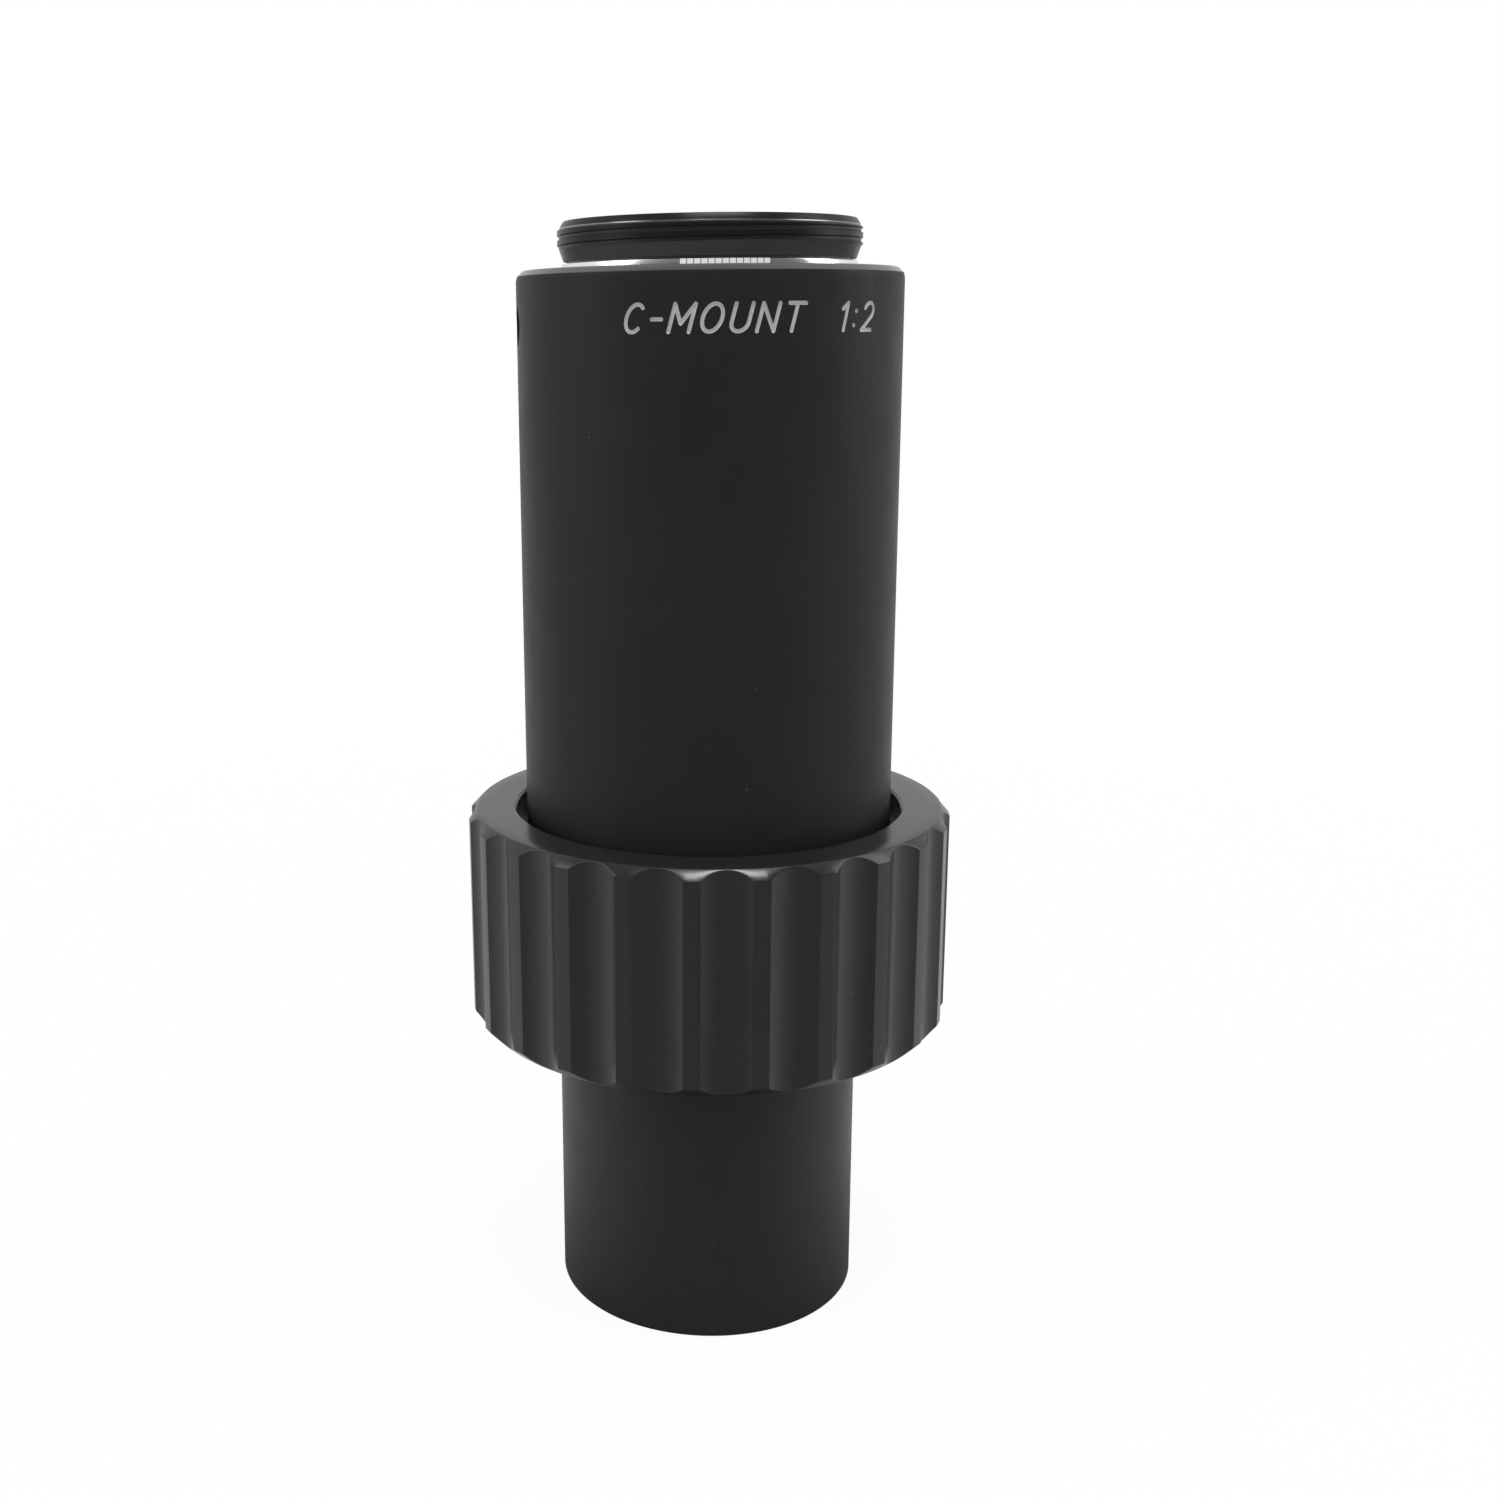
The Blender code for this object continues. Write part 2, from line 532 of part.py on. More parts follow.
def coupling_nut(finish):
    """A turned nut with a lip and a threaded recess, kept only inside the fluted outline of its grip."""
    top_edge = NUT_RADIUS - NUT_TOP_CHAMFER
    foot_edge = NUT_RADIUS - NUT_FOOT_CHAMFER
    mouth = NUT_RECESS + NUT_MOUTH_CHAMFER
    profile = [(top_edge, NUT_TOP), (NUT_RADIUS, NUT_TOP - NUT_TOP_CHAMFER)]
    profile += [(NUT_RADIUS, NUT_FOOT + NUT_FOOT_CHAMFER), (foot_edge, NUT_FOOT)]
    profile += [(mouth, NUT_FOOT), (NUT_RECESS, NUT_FOOT + NUT_MOUTH_CHAMFER), (NUT_RECESS, NUT_LIP_FOOT)]
    profile += [(NUT_BORE, NUT_LIP_FOOT), (NUT_BORE, NUT_TOP - EDGE_BREAK), (NUT_BORE + EDGE_BREAK, NUT_TOP)]
    nut = turned("coupling_nut", profile, 4 * FLUTE_COUNT)
    nut.data.materials.append(finish)
    grip = extruded("fluted_grip", flute_outline(), NUT_FOOT - NUT_LIP, NUT_TOP + NUT_LIP)
    combine(nut, grip, "INTERSECT")


def hang_on_axes():
    """Parents the turning pieces to an empty on each joint's axis, and all of it to one frame."""
    moving = {"nut_axis": ["coupling_nut", "slip_washer"], "nose_axis": ["nosepiece", "index_ring"]}
    frame = add_object("adapter_frame", None, PARTS)
    carried = set()
    for axis_name, names in moving.items():
        axis = add_object(axis_name, None, PARTS)
        axis.parent = frame
        for name in names:
            bpy.data.objects[name].parent = axis
            carried.add(name)
    for obj in bpy.data.collections[PARTS].objects:
        if obj.type == "MESH" and obj.name not in carried:
            obj.parent = frame


def build():
    clear_scene()
    new_collection(PARTS)
    new_collection(CUTTERS).hide_render = True
    black = material("black_anodised", (0.018, 0.018, 0.019), 0.42, 0.6)
    inner_black = material("inner_matt_black", (0.012, 0.012, 0.012), 0.7, 0.3)
    bright = material("bright_aluminium", (0.78, 0.78, 0.79), 0.3, 1.0)
    washer_metal = material("washer_steel", (0.6, 0.6, 0.6), 0.35, 1.0)
    screw_steel = material("black_screw_steel", (0.05, 0.05, 0.05), 0.4, 0.9)
    glass = material("coated_glass", (0.9, 0.95, 0.97), 0.02, 0.0, 1.0)
    port_tube(black, front_group(glass, inner_black))
    aperture_stop(inner_black)
    rear_cell(inner_black, rear_group(glass, inner_black))
    main_barrel(black)
    nosepiece(black)
    index_ring(bright)
    set_screw(screw_steel)
    slip_washer(washer_metal)
    coupling_nut(black)
    hang_on_axes()


build()
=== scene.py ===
"""Finished looks of a microscope camera adapter: turned, fluted, threaded, engraved and black anodised.

Lengths are in metres in the frame of the solids: +Z up the optical axis, the port tube's foot at Z = 0
and the photograph's viewer on the -Y side. Angles round the axis are counted from -Y towards +X.
"""

import math

import bmesh
import bpy
from mathutils import Matrix, Vector

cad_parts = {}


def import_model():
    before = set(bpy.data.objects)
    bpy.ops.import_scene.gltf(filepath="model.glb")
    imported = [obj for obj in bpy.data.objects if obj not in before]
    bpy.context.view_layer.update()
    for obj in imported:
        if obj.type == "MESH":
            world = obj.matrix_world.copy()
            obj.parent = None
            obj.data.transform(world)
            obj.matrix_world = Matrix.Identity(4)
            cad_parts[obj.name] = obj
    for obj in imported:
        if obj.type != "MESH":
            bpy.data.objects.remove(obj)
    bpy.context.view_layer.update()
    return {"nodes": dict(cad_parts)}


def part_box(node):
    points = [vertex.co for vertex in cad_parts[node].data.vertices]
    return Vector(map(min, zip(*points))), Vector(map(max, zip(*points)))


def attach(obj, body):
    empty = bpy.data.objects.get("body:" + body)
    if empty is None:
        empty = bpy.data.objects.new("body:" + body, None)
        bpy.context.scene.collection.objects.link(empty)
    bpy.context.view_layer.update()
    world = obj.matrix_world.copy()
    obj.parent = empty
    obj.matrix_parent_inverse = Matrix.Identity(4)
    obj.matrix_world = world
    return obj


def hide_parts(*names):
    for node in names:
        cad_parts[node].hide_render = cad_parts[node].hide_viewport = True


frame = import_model()

MM = 0.001

# Camera, fitted to the ellipses and edges of the photograph
PHOTO_SIZE = 1500
FOCAL_PIXELS = 1743.67
AXIS_PIXEL = 610.54
CAMERA_DISTANCE = 151.54 * MM
CAMERA_HEIGHT = 87.05 * MM
CAMERA_PITCH = 0.2385
CAMERA_YAW = 0.0557
CAMERA_ROLL = 0.0031
CAMERA_NEAR_LIMIT = 10 * MM
SENSOR_WIDTH = 36.0

# Smoothness of the turned pieces, and how near two points lie that count as one
FINE_STEPS = 256
SMALL_STEPS = 96
EDGE_ROUND = 0.05 * MM
SHARP_ANGLE = math.radians(28)
WELD = 1e-7
NEAR = 1e-6

# Port tube, barrel and coupling nut
TUBE_RADIUS = 13.55 * MM
TUBE_LENGTH = 39.5 * MM
TUBE_FOOT_CHAMFER = 0.2 * MM
TUBE_EDGE_ROUND = 1.6 * EDGE_ROUND
FLANGE_THICKNESS = 2.5 * MM
FLANGE_CHAMFER = 0.3 * MM
SPIGOT_RADIUS = 14.1 * MM
STOP_POCKET_RADIUS = 12.0 * MM
STOP_FLOOR = 44.0 * MM
LENS_RADIUS = 11.3 * MM
LENS_BORE = 11.4 * MM
LIGHT_BORE = 10.2 * MM
FRONT_SEAT = 21.54 * MM
SOCKET_RADIUS = 14.2 * MM
SOCKET_TOP = 50.0 * MM
CELL_BORE = 13.4 * MM
CELL_SEAT = 78.6 * MM
BARREL_LIGHT_BORE = 10.4 * MM
SHANK_BORE = 11.3 * MM
SHANK_FLOOR = 83.4 * MM
BARREL_TOP_CHAMFER = 0.55 * MM
BARREL_EDGE_SOFTNESS = 0.1 * MM
RING_RECESS_RADIUS = 12.85 * MM
RING_RECESS_DEPTH = 0.3 * MM
NUT_BORE = 17.12 * MM
NUT_RECESS = 18.9 * MM
NUT_LIP = 3.0 * MM
NUT_TOP_CHAMFER = 0.8 * MM
NUT_FOOT_CHAMFER = 0.85 * MM
NUT_MOUTH_CHAMFER = 0.6 * MM
NUT_BORE_BREAK = 0.2 * MM
NUT_TOP_RING = 1.2 * MM
NUT_FOOT_RING = 0.5 * MM
NUT_EDGE_ROUND = 0.6 * EDGE_ROUND
NUT_EDGE_MARGIN = 0.2 * MM
NUT_EDGE_START = 1.0 * MM
WASHER_BORE = 16.5 * MM
FLUTES = 24
FLUTE_DEPTH = 0.74 * MM
LAND_WIDTH = 1.42 * MM
FLUTE_TURN = math.radians(4.2)
LAND_STEPS = 4
FLUTE_STEPS = 16

# Internal threads of the nut and of the port tube's mouth
NUT_THREAD_PITCH = 1.0 * MM
NUT_THREAD_DEPTH = 0.35 * MM
NUT_THREAD_FOOT = 1.4 * MM
NUT_THREAD_RELIEF = 2.0 * MM
TUBE_THREAD_PITCH = 0.5 * MM
TUBE_THREAD_DEPTH = 0.22 * MM
TUBE_THREAD_FOOT = 0.9 * MM
TUBE_THREAD_RELIEF = 0.4 * MM
RETAINER_FOOT = 5.5 * MM
INNER_THREAD_ROOT = 0.05 * MM
INNER_THREAD_FLANK = 0.42
INNER_THREAD_CREST = 1 / 16
INNER_THREAD_STEPS = 128

# Lenses: the radius of each curved face, and the entrance ring with its spanner slots
FRONT_ENTRANCE_CURVE = 40 * MM
FRONT_CEMENT_CURVE = 22 * MM
FRONT_EXIT_CURVE = 60 * MM
FIELD_CURVE = 45 * MM
REAR_ENTRANCE_CURVE = 70 * MM
REAR_CEMENT_CURVE = 24 * MM
REAR_EXIT_CURVE = 38 * MM
CAMERA_SIDE_CURVE = 50 * MM
ENTRANCE_RING_HOLE = 9.9 * MM
SPANNER_SLOT_WIDTH = 1.2 * MM
SPANNER_SLOT_DEPTH = 0.9 * MM

# Nose and its camera thread, 1 inch with 32 turns an inch
NOSE_RADIUS = 12.7 * MM
THREAD_PITCH = 25.4 / 32 * MM
THREAD_DEPTH = 0.15 * MM
CREST_FLAT = 0.4 * MM
THREAD_START = 0.47 * MM
THREAD_FLANK = math.radians(30)
CUTTER_CLEARANCE = 0.05 * MM
NECK_GAP = 0.05 * MM
NECK_DEPTH = 0.5 * MM
NECK_STEP = 0.15 * MM
NECK_HEIGHT = 1.3 * MM
UNDERCUT_DEPTH = 0.3 * MM
UNDERCUT_HEIGHT = 0.18 * MM
NOSE_BEVEL_WIDTH = 0.5 * MM
NOSE_BEVEL_HEIGHT = 0.72 * MM
NOSE_CROWN_SETBACK = 0.66 * NOSE_BEVEL_WIDTH
NOSE_CROWN_DROP = 0.33 * NOSE_BEVEL_HEIGHT
# A narrow flat facet under the nose's bevel that carries a painted highlight: a bright, glossy metal band
# drawn as a highlight line
HIGHLIGHT_WIDTH = 0.08 * MM
HIGHLIGHT_DROP = 0.6 * MM
HIGHLIGHT_TOP_SETBACK = 0.6 * HIGHLIGHT_WIDTH
HIGHLIGHT_FOOT_SETBACK = 0.1 * HIGHLIGHT_WIDTH
NOSE_BORE = 9.8 * MM
NOSE_BORE_CHAMFER = 0.5 * MM
SHANK_RADIUS = 11.2 * MM
BORE_GROOVES = 9
BORE_GROOVE_START = 1.5 * MM
BORE_GROOVE_PITCH = 0.7 * MM
BORE_GROOVE_DEPTH = 0.22 * MM

# Set screw
SCREW_TURN = math.radians(-80.0)
SCREW_LEVEL = 87.1 * MM
SCREW_RADIUS = 1.5 * MM
SCREW_HOLE_RADIUS = 1.6 * MM
SCREW_SINK = 0.7 * MM
SCREW_CHAMFER = 0.2 * MM
SCREW_LENGTH = 4.9 * MM
SCREW_TIP_RADIUS = 0.5 * MM
SOCKET_ACROSS_FLATS = 1.5 * MM
SOCKET_DEPTH = 1.6 * MM

# Engraving on the barrel: height and width of the strokes, and where each word lies
LETTER_HEIGHT = 2.05 * MM
LETTER_BASE = 86.62 * MM
STROKE_RADIUS = 0.16 * MM
STROKE_END_SHARE = 0.999
SLANT = math.tan(math.radians(15))
WORD_START = math.radians(-24.0)
WORD_END = math.radians(27.0)
RATIO_START = math.radians(38.0)
RATIO_END = math.radians(53.0)

# White marks on the bright ring
MARKS = 13
MARK_START = math.radians(-9.4)
MARK_END = math.radians(21.2)
MARK_WIDTH = 0.46 * MM
MARK_HEIGHT = 0.49 * MM
MARK_THICKNESS = 0.2 * MM
MARK_PROUD = 0.02 * MM

# Second and third finishes of the pieces that have them, by their place in the piece's list
# The chamfer's finish paints in part of the rim's highlight
CHAMFER_PLACE = 1
# The neck's finish is lighter to paint in a reflection
NECK_REFLECTION_PLACE = 1
# The band's finish is a painted highlight line
HIGHLIGHT_PLACE = 2

# Patterns in the finishes: turning rings, cloudy sheen and dust
MM_IN_METRE = 1000.0
DRIFT_SCALE = 160.0
CLOUD_SHARE = 0.8
RING_SHARE = 0.2
CLOUD_LOW = 0.3
CLOUD_HIGH = 0.7
SPECK_RADIUS = 0.09
DUST_GREY = (0.09, 0.09, 0.09)

# Glass
GLASS_INDEX = 1.52
GLASS_TONES = ((0.86, 0.93, 0.90), (0.93, 0.97, 0.96))
GLASS_POLISH = 0.04

# Studio floor and wall, and how bright their paper looks in metal, with a shadow painted round the
# adapter's foot
SHADOW_REACH = 120 * MM
FRONT_LEVEL = 0.28
BACK_LEVEL = 0.8
FADE_FRONT = -0.92
FADE_SIDE = -0.35
PAINTED_SHADOW_LEVEL = 0.3
FOOT_DIM = 15 * MM
FOOT_CLEAR = 38 * MM
FLOOR_RADIUS = 3.0
FLOOR_DROP = 0.02 * MM
FLOOR_STEPS = 64
FLOOR_PAPER = (0.6, 0.6, 0.6)
FLOOR_GLOW = 0.95
WALL_RADIUS = 2.4
WALL_HEIGHT = 2.6
WALL_START = math.radians(88)
WALL_SWEEP = math.radians(184)
WALL_STEPS = 32
WALL_PAPER = (0.85, 0.85, 0.85)
WALL_GLOW = 1.0

# Studio air, and the height that the lamps face
AIR_SOFT = 0.9
AIR_FRONT = 0.14
AIR_BACK = 0.9
AIR_FADE_START = -0.1
AIR_FADE_END = 0.3
LAMP_AIM = 50 * MM


def shaped(name, solid):
    """An object of the scene made from a bmesh."""
    mesh = bpy.data.meshes.new(name)
    solid.to_mesh(mesh)
    solid.free()
    piece = bpy.data.objects.new(name, mesh)
    bpy.context.scene.collection.objects.link(piece)
    return piece


def finished(name, solid, finish, body, slot, *nodes):
    """Makes a piece from a bmesh, gives it a finish and a body to ride on, and hides the solids it stands
    in for.
    """
    piece = shaped(name, solid)
    piece.data.materials.append(finish)
    smooth(piece)
    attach(piece, body)
    if nodes:
        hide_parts(*nodes)
    return piece


def smooth(piece):
    """Shades a piece round between its sharp edges, with large faces kept true."""
    piece.data.shade_smooth()
    piece.data.set_sharp_from_angle(angle=SHARP_ANGLE)
    if "face_normals" not in piece.modifiers:
        weighted = piece.modifiers.new("face_normals", "WEIGHTED_NORMAL")
        weighted.keep_sharp = True


def spun(profile, steps, loop=True):
    """A profile of (radius, height) points spun into a solid of revolution about Z."""
    solid = bmesh.new()
    points = [solid.verts.new((radius, 0.0, height)) for radius, height in profile]
    edges = [solid.edges.new(pair) for pair in zip(points, points[1:])]
    if loop:
        edges.append(solid.edges.new((points[-1], points[0])))
    bmesh.ops.spin(
        solid, geom=points + edges, cent=(0, 0, 0), axis=(0, 0, 1), dvec=(0, 0, 0),
        angle=2 * math.pi, steps=steps, use_merge=True, use_duplicate=False,
    )
    bmesh.ops.remove_doubles(solid, verts=solid.verts, dist=WELD)
    bmesh.ops.recalc_face_normals(solid, faces=solid.faces)
    return solid


def break_edges(solid, width=EDGE_ROUND, segments=2, wanted=lambda edge: True):
    """Rounds the sharp edges of a solid by a small amount, as a deburring cut does."""
    sharp = []
    for edge in solid.edges:
        if len(edge.link_faces) == 2 and edge.calc_face_angle() > SHARP_ANGLE and wanted(edge):
            sharp.append(edge)
    bmesh.ops.bevel(
        solid, geom=sharp, offset=width, offset_type="OFFSET", segments=segments,
        profile=0.5, affect="EDGES", clamp_overlap=True, material=-1,
    )
    return solid


def helix(section, turns, pitch, steps):
    """A closed section of (radius, height) points swept along a rising thread, with flat ends."""
    solid = bmesh.new()
    points = [solid.verts.new((radius, 0.0, height)) for radius, height in section]
    start = solid.faces.new(points)
    total = round(turns * steps)
    rise = (0, 0, pitch / steps)
    swept = bmesh.ops.spin(
        solid, geom=list(start.edges) + points, cent=(0, 0, 0), axis=(0, 0, 1), dvec=rise,
        angle=2 * math.pi * total / steps, steps=total, use_merge=False, use_duplicate=False,
    )
    last = [item for item in swept["geom_last"] if isinstance(item, bmesh.types.BMEdge)]
    bmesh.ops.edgeloop_fill(solid, edges=last)
    bmesh.ops.recalc_face_normals(solid, faces=solid.faces)
    return solid


def around(angle, radius, height):
    """A point at an angle round the axis, counted from -Y towards +X."""
    return Vector((radius * math.sin(angle), -radius * math.cos(angle), height))


def cut(piece, cutter, finish=None, crossing=False):
    """Takes a cutter out of a piece and removes the cutter. The cut faces take the finish given."""
    if finish is not None:
        cutter.data.materials.append(finish)
    weighted = piece.modifiers.get("face_normals")
    if weighted is not None:
        piece.modifiers.remove(weighted)
    boolean = piece.modifiers.new("cut", "BOOLEAN")
    boolean.operation = "DIFFERENCE"
    boolean.solver = "EXACT"
    boolean.material_mode = "TRANSFER"
    boolean.use_self = crossing
    boolean.object = cutter
    graph = bpy.context.evaluated_depsgraph_get()
    mesh = bpy.data.meshes.new_from_object(piece.evaluated_get(graph))
    piece.modifiers.remove(boolean)
    piece.data = mesh
    bpy.data.objects.remove(cutter)
    smooth(piece)


# Node groups

def node_group(name, inputs, outputs):
    """An empty shader group with named inputs (with their defaults) and outputs, and its two end nodes."""
    group = bpy.data.node_groups.new(name, "ShaderNodeTree")
    for label, default in inputs:
        socket = group.interface.new_socket(label, in_out="INPUT", socket_type="NodeSocketFloat")
        socket.default_value = default
    for label, kind in outputs:
        group.interface.new_socket(label, in_out="OUTPUT", socket_type=kind)
    return group, group.nodes.new("NodeGroupInput"), group.nodes.new("NodeGroupOutput")


def math_node(tree, operation, first, second, third=None):
    """The outcome of a sum on two or three values, each a number or a socket."""
    node = tree.nodes.new("ShaderNodeMath")
    node.operation = operation
    for socket, value in zip(node.inputs, (first, second, third)):
        if value is None:
            continue
        if isinstance(value, (int, float)):
            socket.default_value = value
        else:
            tree.links.new(value, socket)
    return node.outputs[0]


def ramp(tree, value, start, end, first, last):
    """A value that runs evenly from a first to a last level between two places, and is level beyond."""
    node = tree.nodes.new("ShaderNodeMapRange")
    node.inputs["From Min"].default_value = start
    node.inputs["From Max"].default_value = end
    node.inputs["To Min"].default_value = first
    node.inputs["To Max"].default_value = last
    tree.links.new(value, node.inputs["Value"])
    return node.outputs["Result"]


def lathe_group():
    """Rings left by turning, stepped along the axis on walls and outwards on faces: height and mask."""
    group, given, out = node_group(
        "lathe_rings", [("Rings per mm", 9.0), ("Unevenness", 0.35)],
        [("Height", "NodeSocketFloat"), ("Mask", "NodeSocketFloat")],
    )
    links = group.links
    place = group.nodes.new("ShaderNodeTexCoord")
    split = group.nodes.new("ShaderNodeSeparateXYZ")
    links.new(place.outputs["Object"], split.inputs[0])
    square_x = math_node(group, "MULTIPLY", split.outputs[0], split.outputs[0])
    square = math_node(group, "MULTIPLY_ADD", split.outputs[1], split.outputs[1], square_x)
    radius = math_node(group, "SQRT", square, None)
    run = math_node(group, "ADD", split.outputs[2], radius)
    per_metre = math_node(group, "MULTIPLY", given.outputs["Rings per mm"], MM_IN_METRE)
    along = math_node(group, "MULTIPLY", run, per_metre)
    rings = group.nodes.new("ShaderNodeTexNoise")
    rings.noise_dimensions = "1D"
    rings.inputs["Scale"].default_value = 1.0
    rings.inputs["Detail"].default_value = 3.0
    links.new(along, rings.inputs["W"])
    drift = group.nodes.new("ShaderNodeTexNoise")
    drift.inputs["Scale"].default_value = DRIFT_SCALE
    drift.inputs["Detail"].default_value = 3.0
    links.new(place.outputs["Object"], drift.inputs["Vector"])
    patch = math_node(group, "MULTIPLY", drift.outputs[0], given.outputs["Unevenness"])
    height = math_node(group, "SUBTRACT", rings.outputs[0], patch)
    links.new(height, out.inputs["Height"])
    links.new(rings.outputs[0], out.inputs["Mask"])
    return group


def grain_group():
    """The etched grain of an anodised or blasted surface, and the slow cloudiness of its sheen."""
    group, given, out = node_group(
        "etched_grain", [("Grains per mm", 7.0), ("Cloud size mm", 6.0)],
        [("Height", "NodeSocketFloat"), ("Cloud", "NodeSocketFloat")],
    )
    links = group.links
    place = group.nodes.new("ShaderNodeTexCoord")
    grain = group.nodes.new("ShaderNodeTexNoise")
    grain.inputs["Detail"].default_value = 4.0
    grain.inputs["Roughness"].default_value = 0.6
    links.new(place.outputs["Object"], grain.inputs["Vector"])
    grains = math_node(group, "MULTIPLY", given.outputs["Grains per mm"], MM_IN_METRE)
    links.new(grains, grain.inputs["Scale"])
    cloud = group.nodes.new("ShaderNodeTexNoise")
    cloud.inputs["Detail"].default_value = 5.0
    cloud.inputs["Roughness"].default_value = 0.55
    links.new(place.outputs["Object"], cloud.inputs["Vector"])
    clouds = math_node(group, "DIVIDE", MM_IN_METRE, given.outputs["Cloud size mm"])
    links.new(clouds, cloud.inputs["Scale"])
    links.new(grain.outputs[0], out.inputs["Height"])
    links.new(cloud.outputs[0], out.inputs["Cloud"])
    return group


def speck_group():
    """Sparse pale specks: dust and tiny worn points, as a mask."""
    group, given, out = node_group(
        "fine_specks", [("Specks per mm", 1.6), ("Share", 0.05)], [("Mask", "NodeSocketFloat")],
    )
    links = group.links
    place = group.nodes.new("ShaderNodeTexCoord")
    cells = group.nodes.new("ShaderNodeTexVoronoi")
    links.new(place.outputs["Object"], cells.inputs["Vector"])
    specks = math_node(group, "MULTIPLY", given.outputs["Specks per mm"], MM_IN_METRE)
    links.new(specks, cells.inputs["Scale"])
    near = math_node(group, "LESS_THAN", cells.outputs["Distance"], SPECK_RADIUS)
    colour = group.nodes.new("ShaderNodeSeparateColor")
    links.new(cells.outputs["Color"], colour.inputs[0])
    chosen = math_node(group, "LESS_THAN", colour.outputs[0], given.outputs["Share"])
    links.new(math_node(group, "MULTIPLY", near, chosen), out.inputs["Mask"])
    return group


LATHE = lathe_group()
GRAIN = grain_group()
SPECKS = speck_group()


def new_material(name):
    """A material with nodes, and its tree."""
    made = bpy.data.materials.new(name)
    made.use_nodes = True
    return made, made.node_tree


def blended(tree, first, second, share):
    """A colour that goes by a share from the first, given as a colour or a socket, to the second."""
    node = tree.nodes.new("ShaderNodeMix")
    node.data_type = "RGBA"
    if isinstance(first, tuple):
        node.inputs["A"].default_value = (*first, 1.0)
    else:
        tree.links.new(first, node.inputs["A"])
    node.inputs["B"].default_value = (*second, 1.0)
    tree.links.new(share, node.inputs["Factor"])
    return node.outputs["Result"]


def placed(tree, group, **values):
    """A node of a group, with the values given for its inputs."""
    node = tree.nodes.new("ShaderNodeGroup")
    node.node_tree = group
    for label, value in values.items():
        node.inputs[label.replace("_", " ")].default_value = value
    return node


def metal(name, dark, light, rough, metallic, ring_height, grain_height, specks=0.0, specular=0.5):
    """A finish between two tones, with turning rings and grain in its relief and a range of roughness."""
    made, tree = new_material(name)
    shader = tree.nodes["Principled BSDF"]
    shader.inputs["Metallic"].default_value = metallic
    shader.inputs["Specular IOR Level"].default_value = specular
    rings = placed(tree, LATHE)
    grain = placed(tree, GRAIN)
    cloud = math_node(tree, "MULTIPLY", grain.outputs["Cloud"], CLOUD_SHARE)
    share = math_node(tree, "MULTIPLY_ADD", rings.outputs["Mask"], RING_SHARE, cloud)
    colour = blended(tree, dark, light, share)
    if specks:
        dust = placed(tree, SPECKS, Share=specks)
        colour = blended(tree, colour, DUST_GREY, dust.outputs["Mask"])
    tree.links.new(colour, shader.inputs["Base Color"])
    sheen = ramp(tree, grain.outputs["Cloud"], CLOUD_LOW, CLOUD_HIGH, *rough)
    tree.links.new(sheen, shader.inputs["Roughness"])
    relief = math_node(tree, "MULTIPLY", rings.outputs["Height"], ring_height)
    relief = math_node(tree, "MULTIPLY_ADD", grain.outputs["Height"], grain_height, relief)
    bump = tree.nodes.new("ShaderNodeBump")
    bump.inputs["Distance"].default_value = 1.0
    bump.inputs["Strength"].default_value = 1.0
    tree.links.new(relief, bump.inputs["Height"])
    tree.links.new(bump.outputs["Normal"], shader.inputs["Normal"])
    return made


def coated_glass(name, tint):
    """Lens glass with a faint coating tint and slow marks in its polish."""
    made, tree = new_material(name)
    shader = tree.nodes["Principled BSDF"]
    shader.inputs["Transmission Weight"].default_value = 1.0
    shader.inputs["IOR"].default_value = GLASS_INDEX
    shader.inputs["Specular Tint"].default_value = (*tint, 1.0)
    grain = placed(tree, GRAIN)
    colour = blended(tree, *GLASS_TONES, grain.outputs["Cloud"])
    tree.links.new(colour, shader.inputs["Base Color"])
    wipe = math_node(tree, "MULTIPLY", grain.outputs["Cloud"], GLASS_POLISH)
    tree.links.new(wipe, shader.inputs["Roughness"])
    return made


ANODISED = metal(
    "black_anodised", (0.0127, 0.0106, 0.0115), (0.0177, 0.0149, 0.0161), (0.38, 0.46), 0.0,
    1.2e-6, 2.0e-6, 0.005, 0.12,
)
TUBE_BLACK = metal(
    "tube_anodised", (0.0145, 0.0130, 0.0139), (0.0203, 0.0182, 0.0194), (0.38, 0.46), 0.0,
    1.2e-6, 2.0e-6, 0.005, 0.26,
)
NUT_BLACK = metal(
    "nut_anodised", (0.0115, 0.0101, 0.0108), (0.0160, 0.0141, 0.0150), (0.20, 0.26), 0.0,
    1.6e-6, 1.2e-6, 0.005, 0.42,
)
NOSE_BLACK = metal(
    "nose_anodised", (0.0083, 0.0076, 0.0079), (0.0115, 0.0106, 0.0110), (0.26, 0.34), 0.0,
    1.0e-6, 1.5e-6, 0.0, 0.13,
)
# Painted light: the thread grooves' faces are about twice as light as the nose, so the grooves lose their
# shade and their flanks look lit
THREAD_PAINTED_LIGHT = metal(
    "thread_anodised", (0.0165, 0.0155, 0.016), (0.0225, 0.0215, 0.022), (0.3, 0.38), 0.0,
    1.0e-6, 1.5e-6, 0.0, 0.15,
)
# Painted reflection: the neck's tone is raised far above the nose's to stand in for light the neck reflects
NECK_PAINTED_REFLECTION = metal(
    "neck_anodised", (0.056, 0.054, 0.055), (0.076, 0.074, 0.075), (0.34, 0.42), 0.0,
    1.6e-6, 1.5e-6, 0.0, 0.4,
)
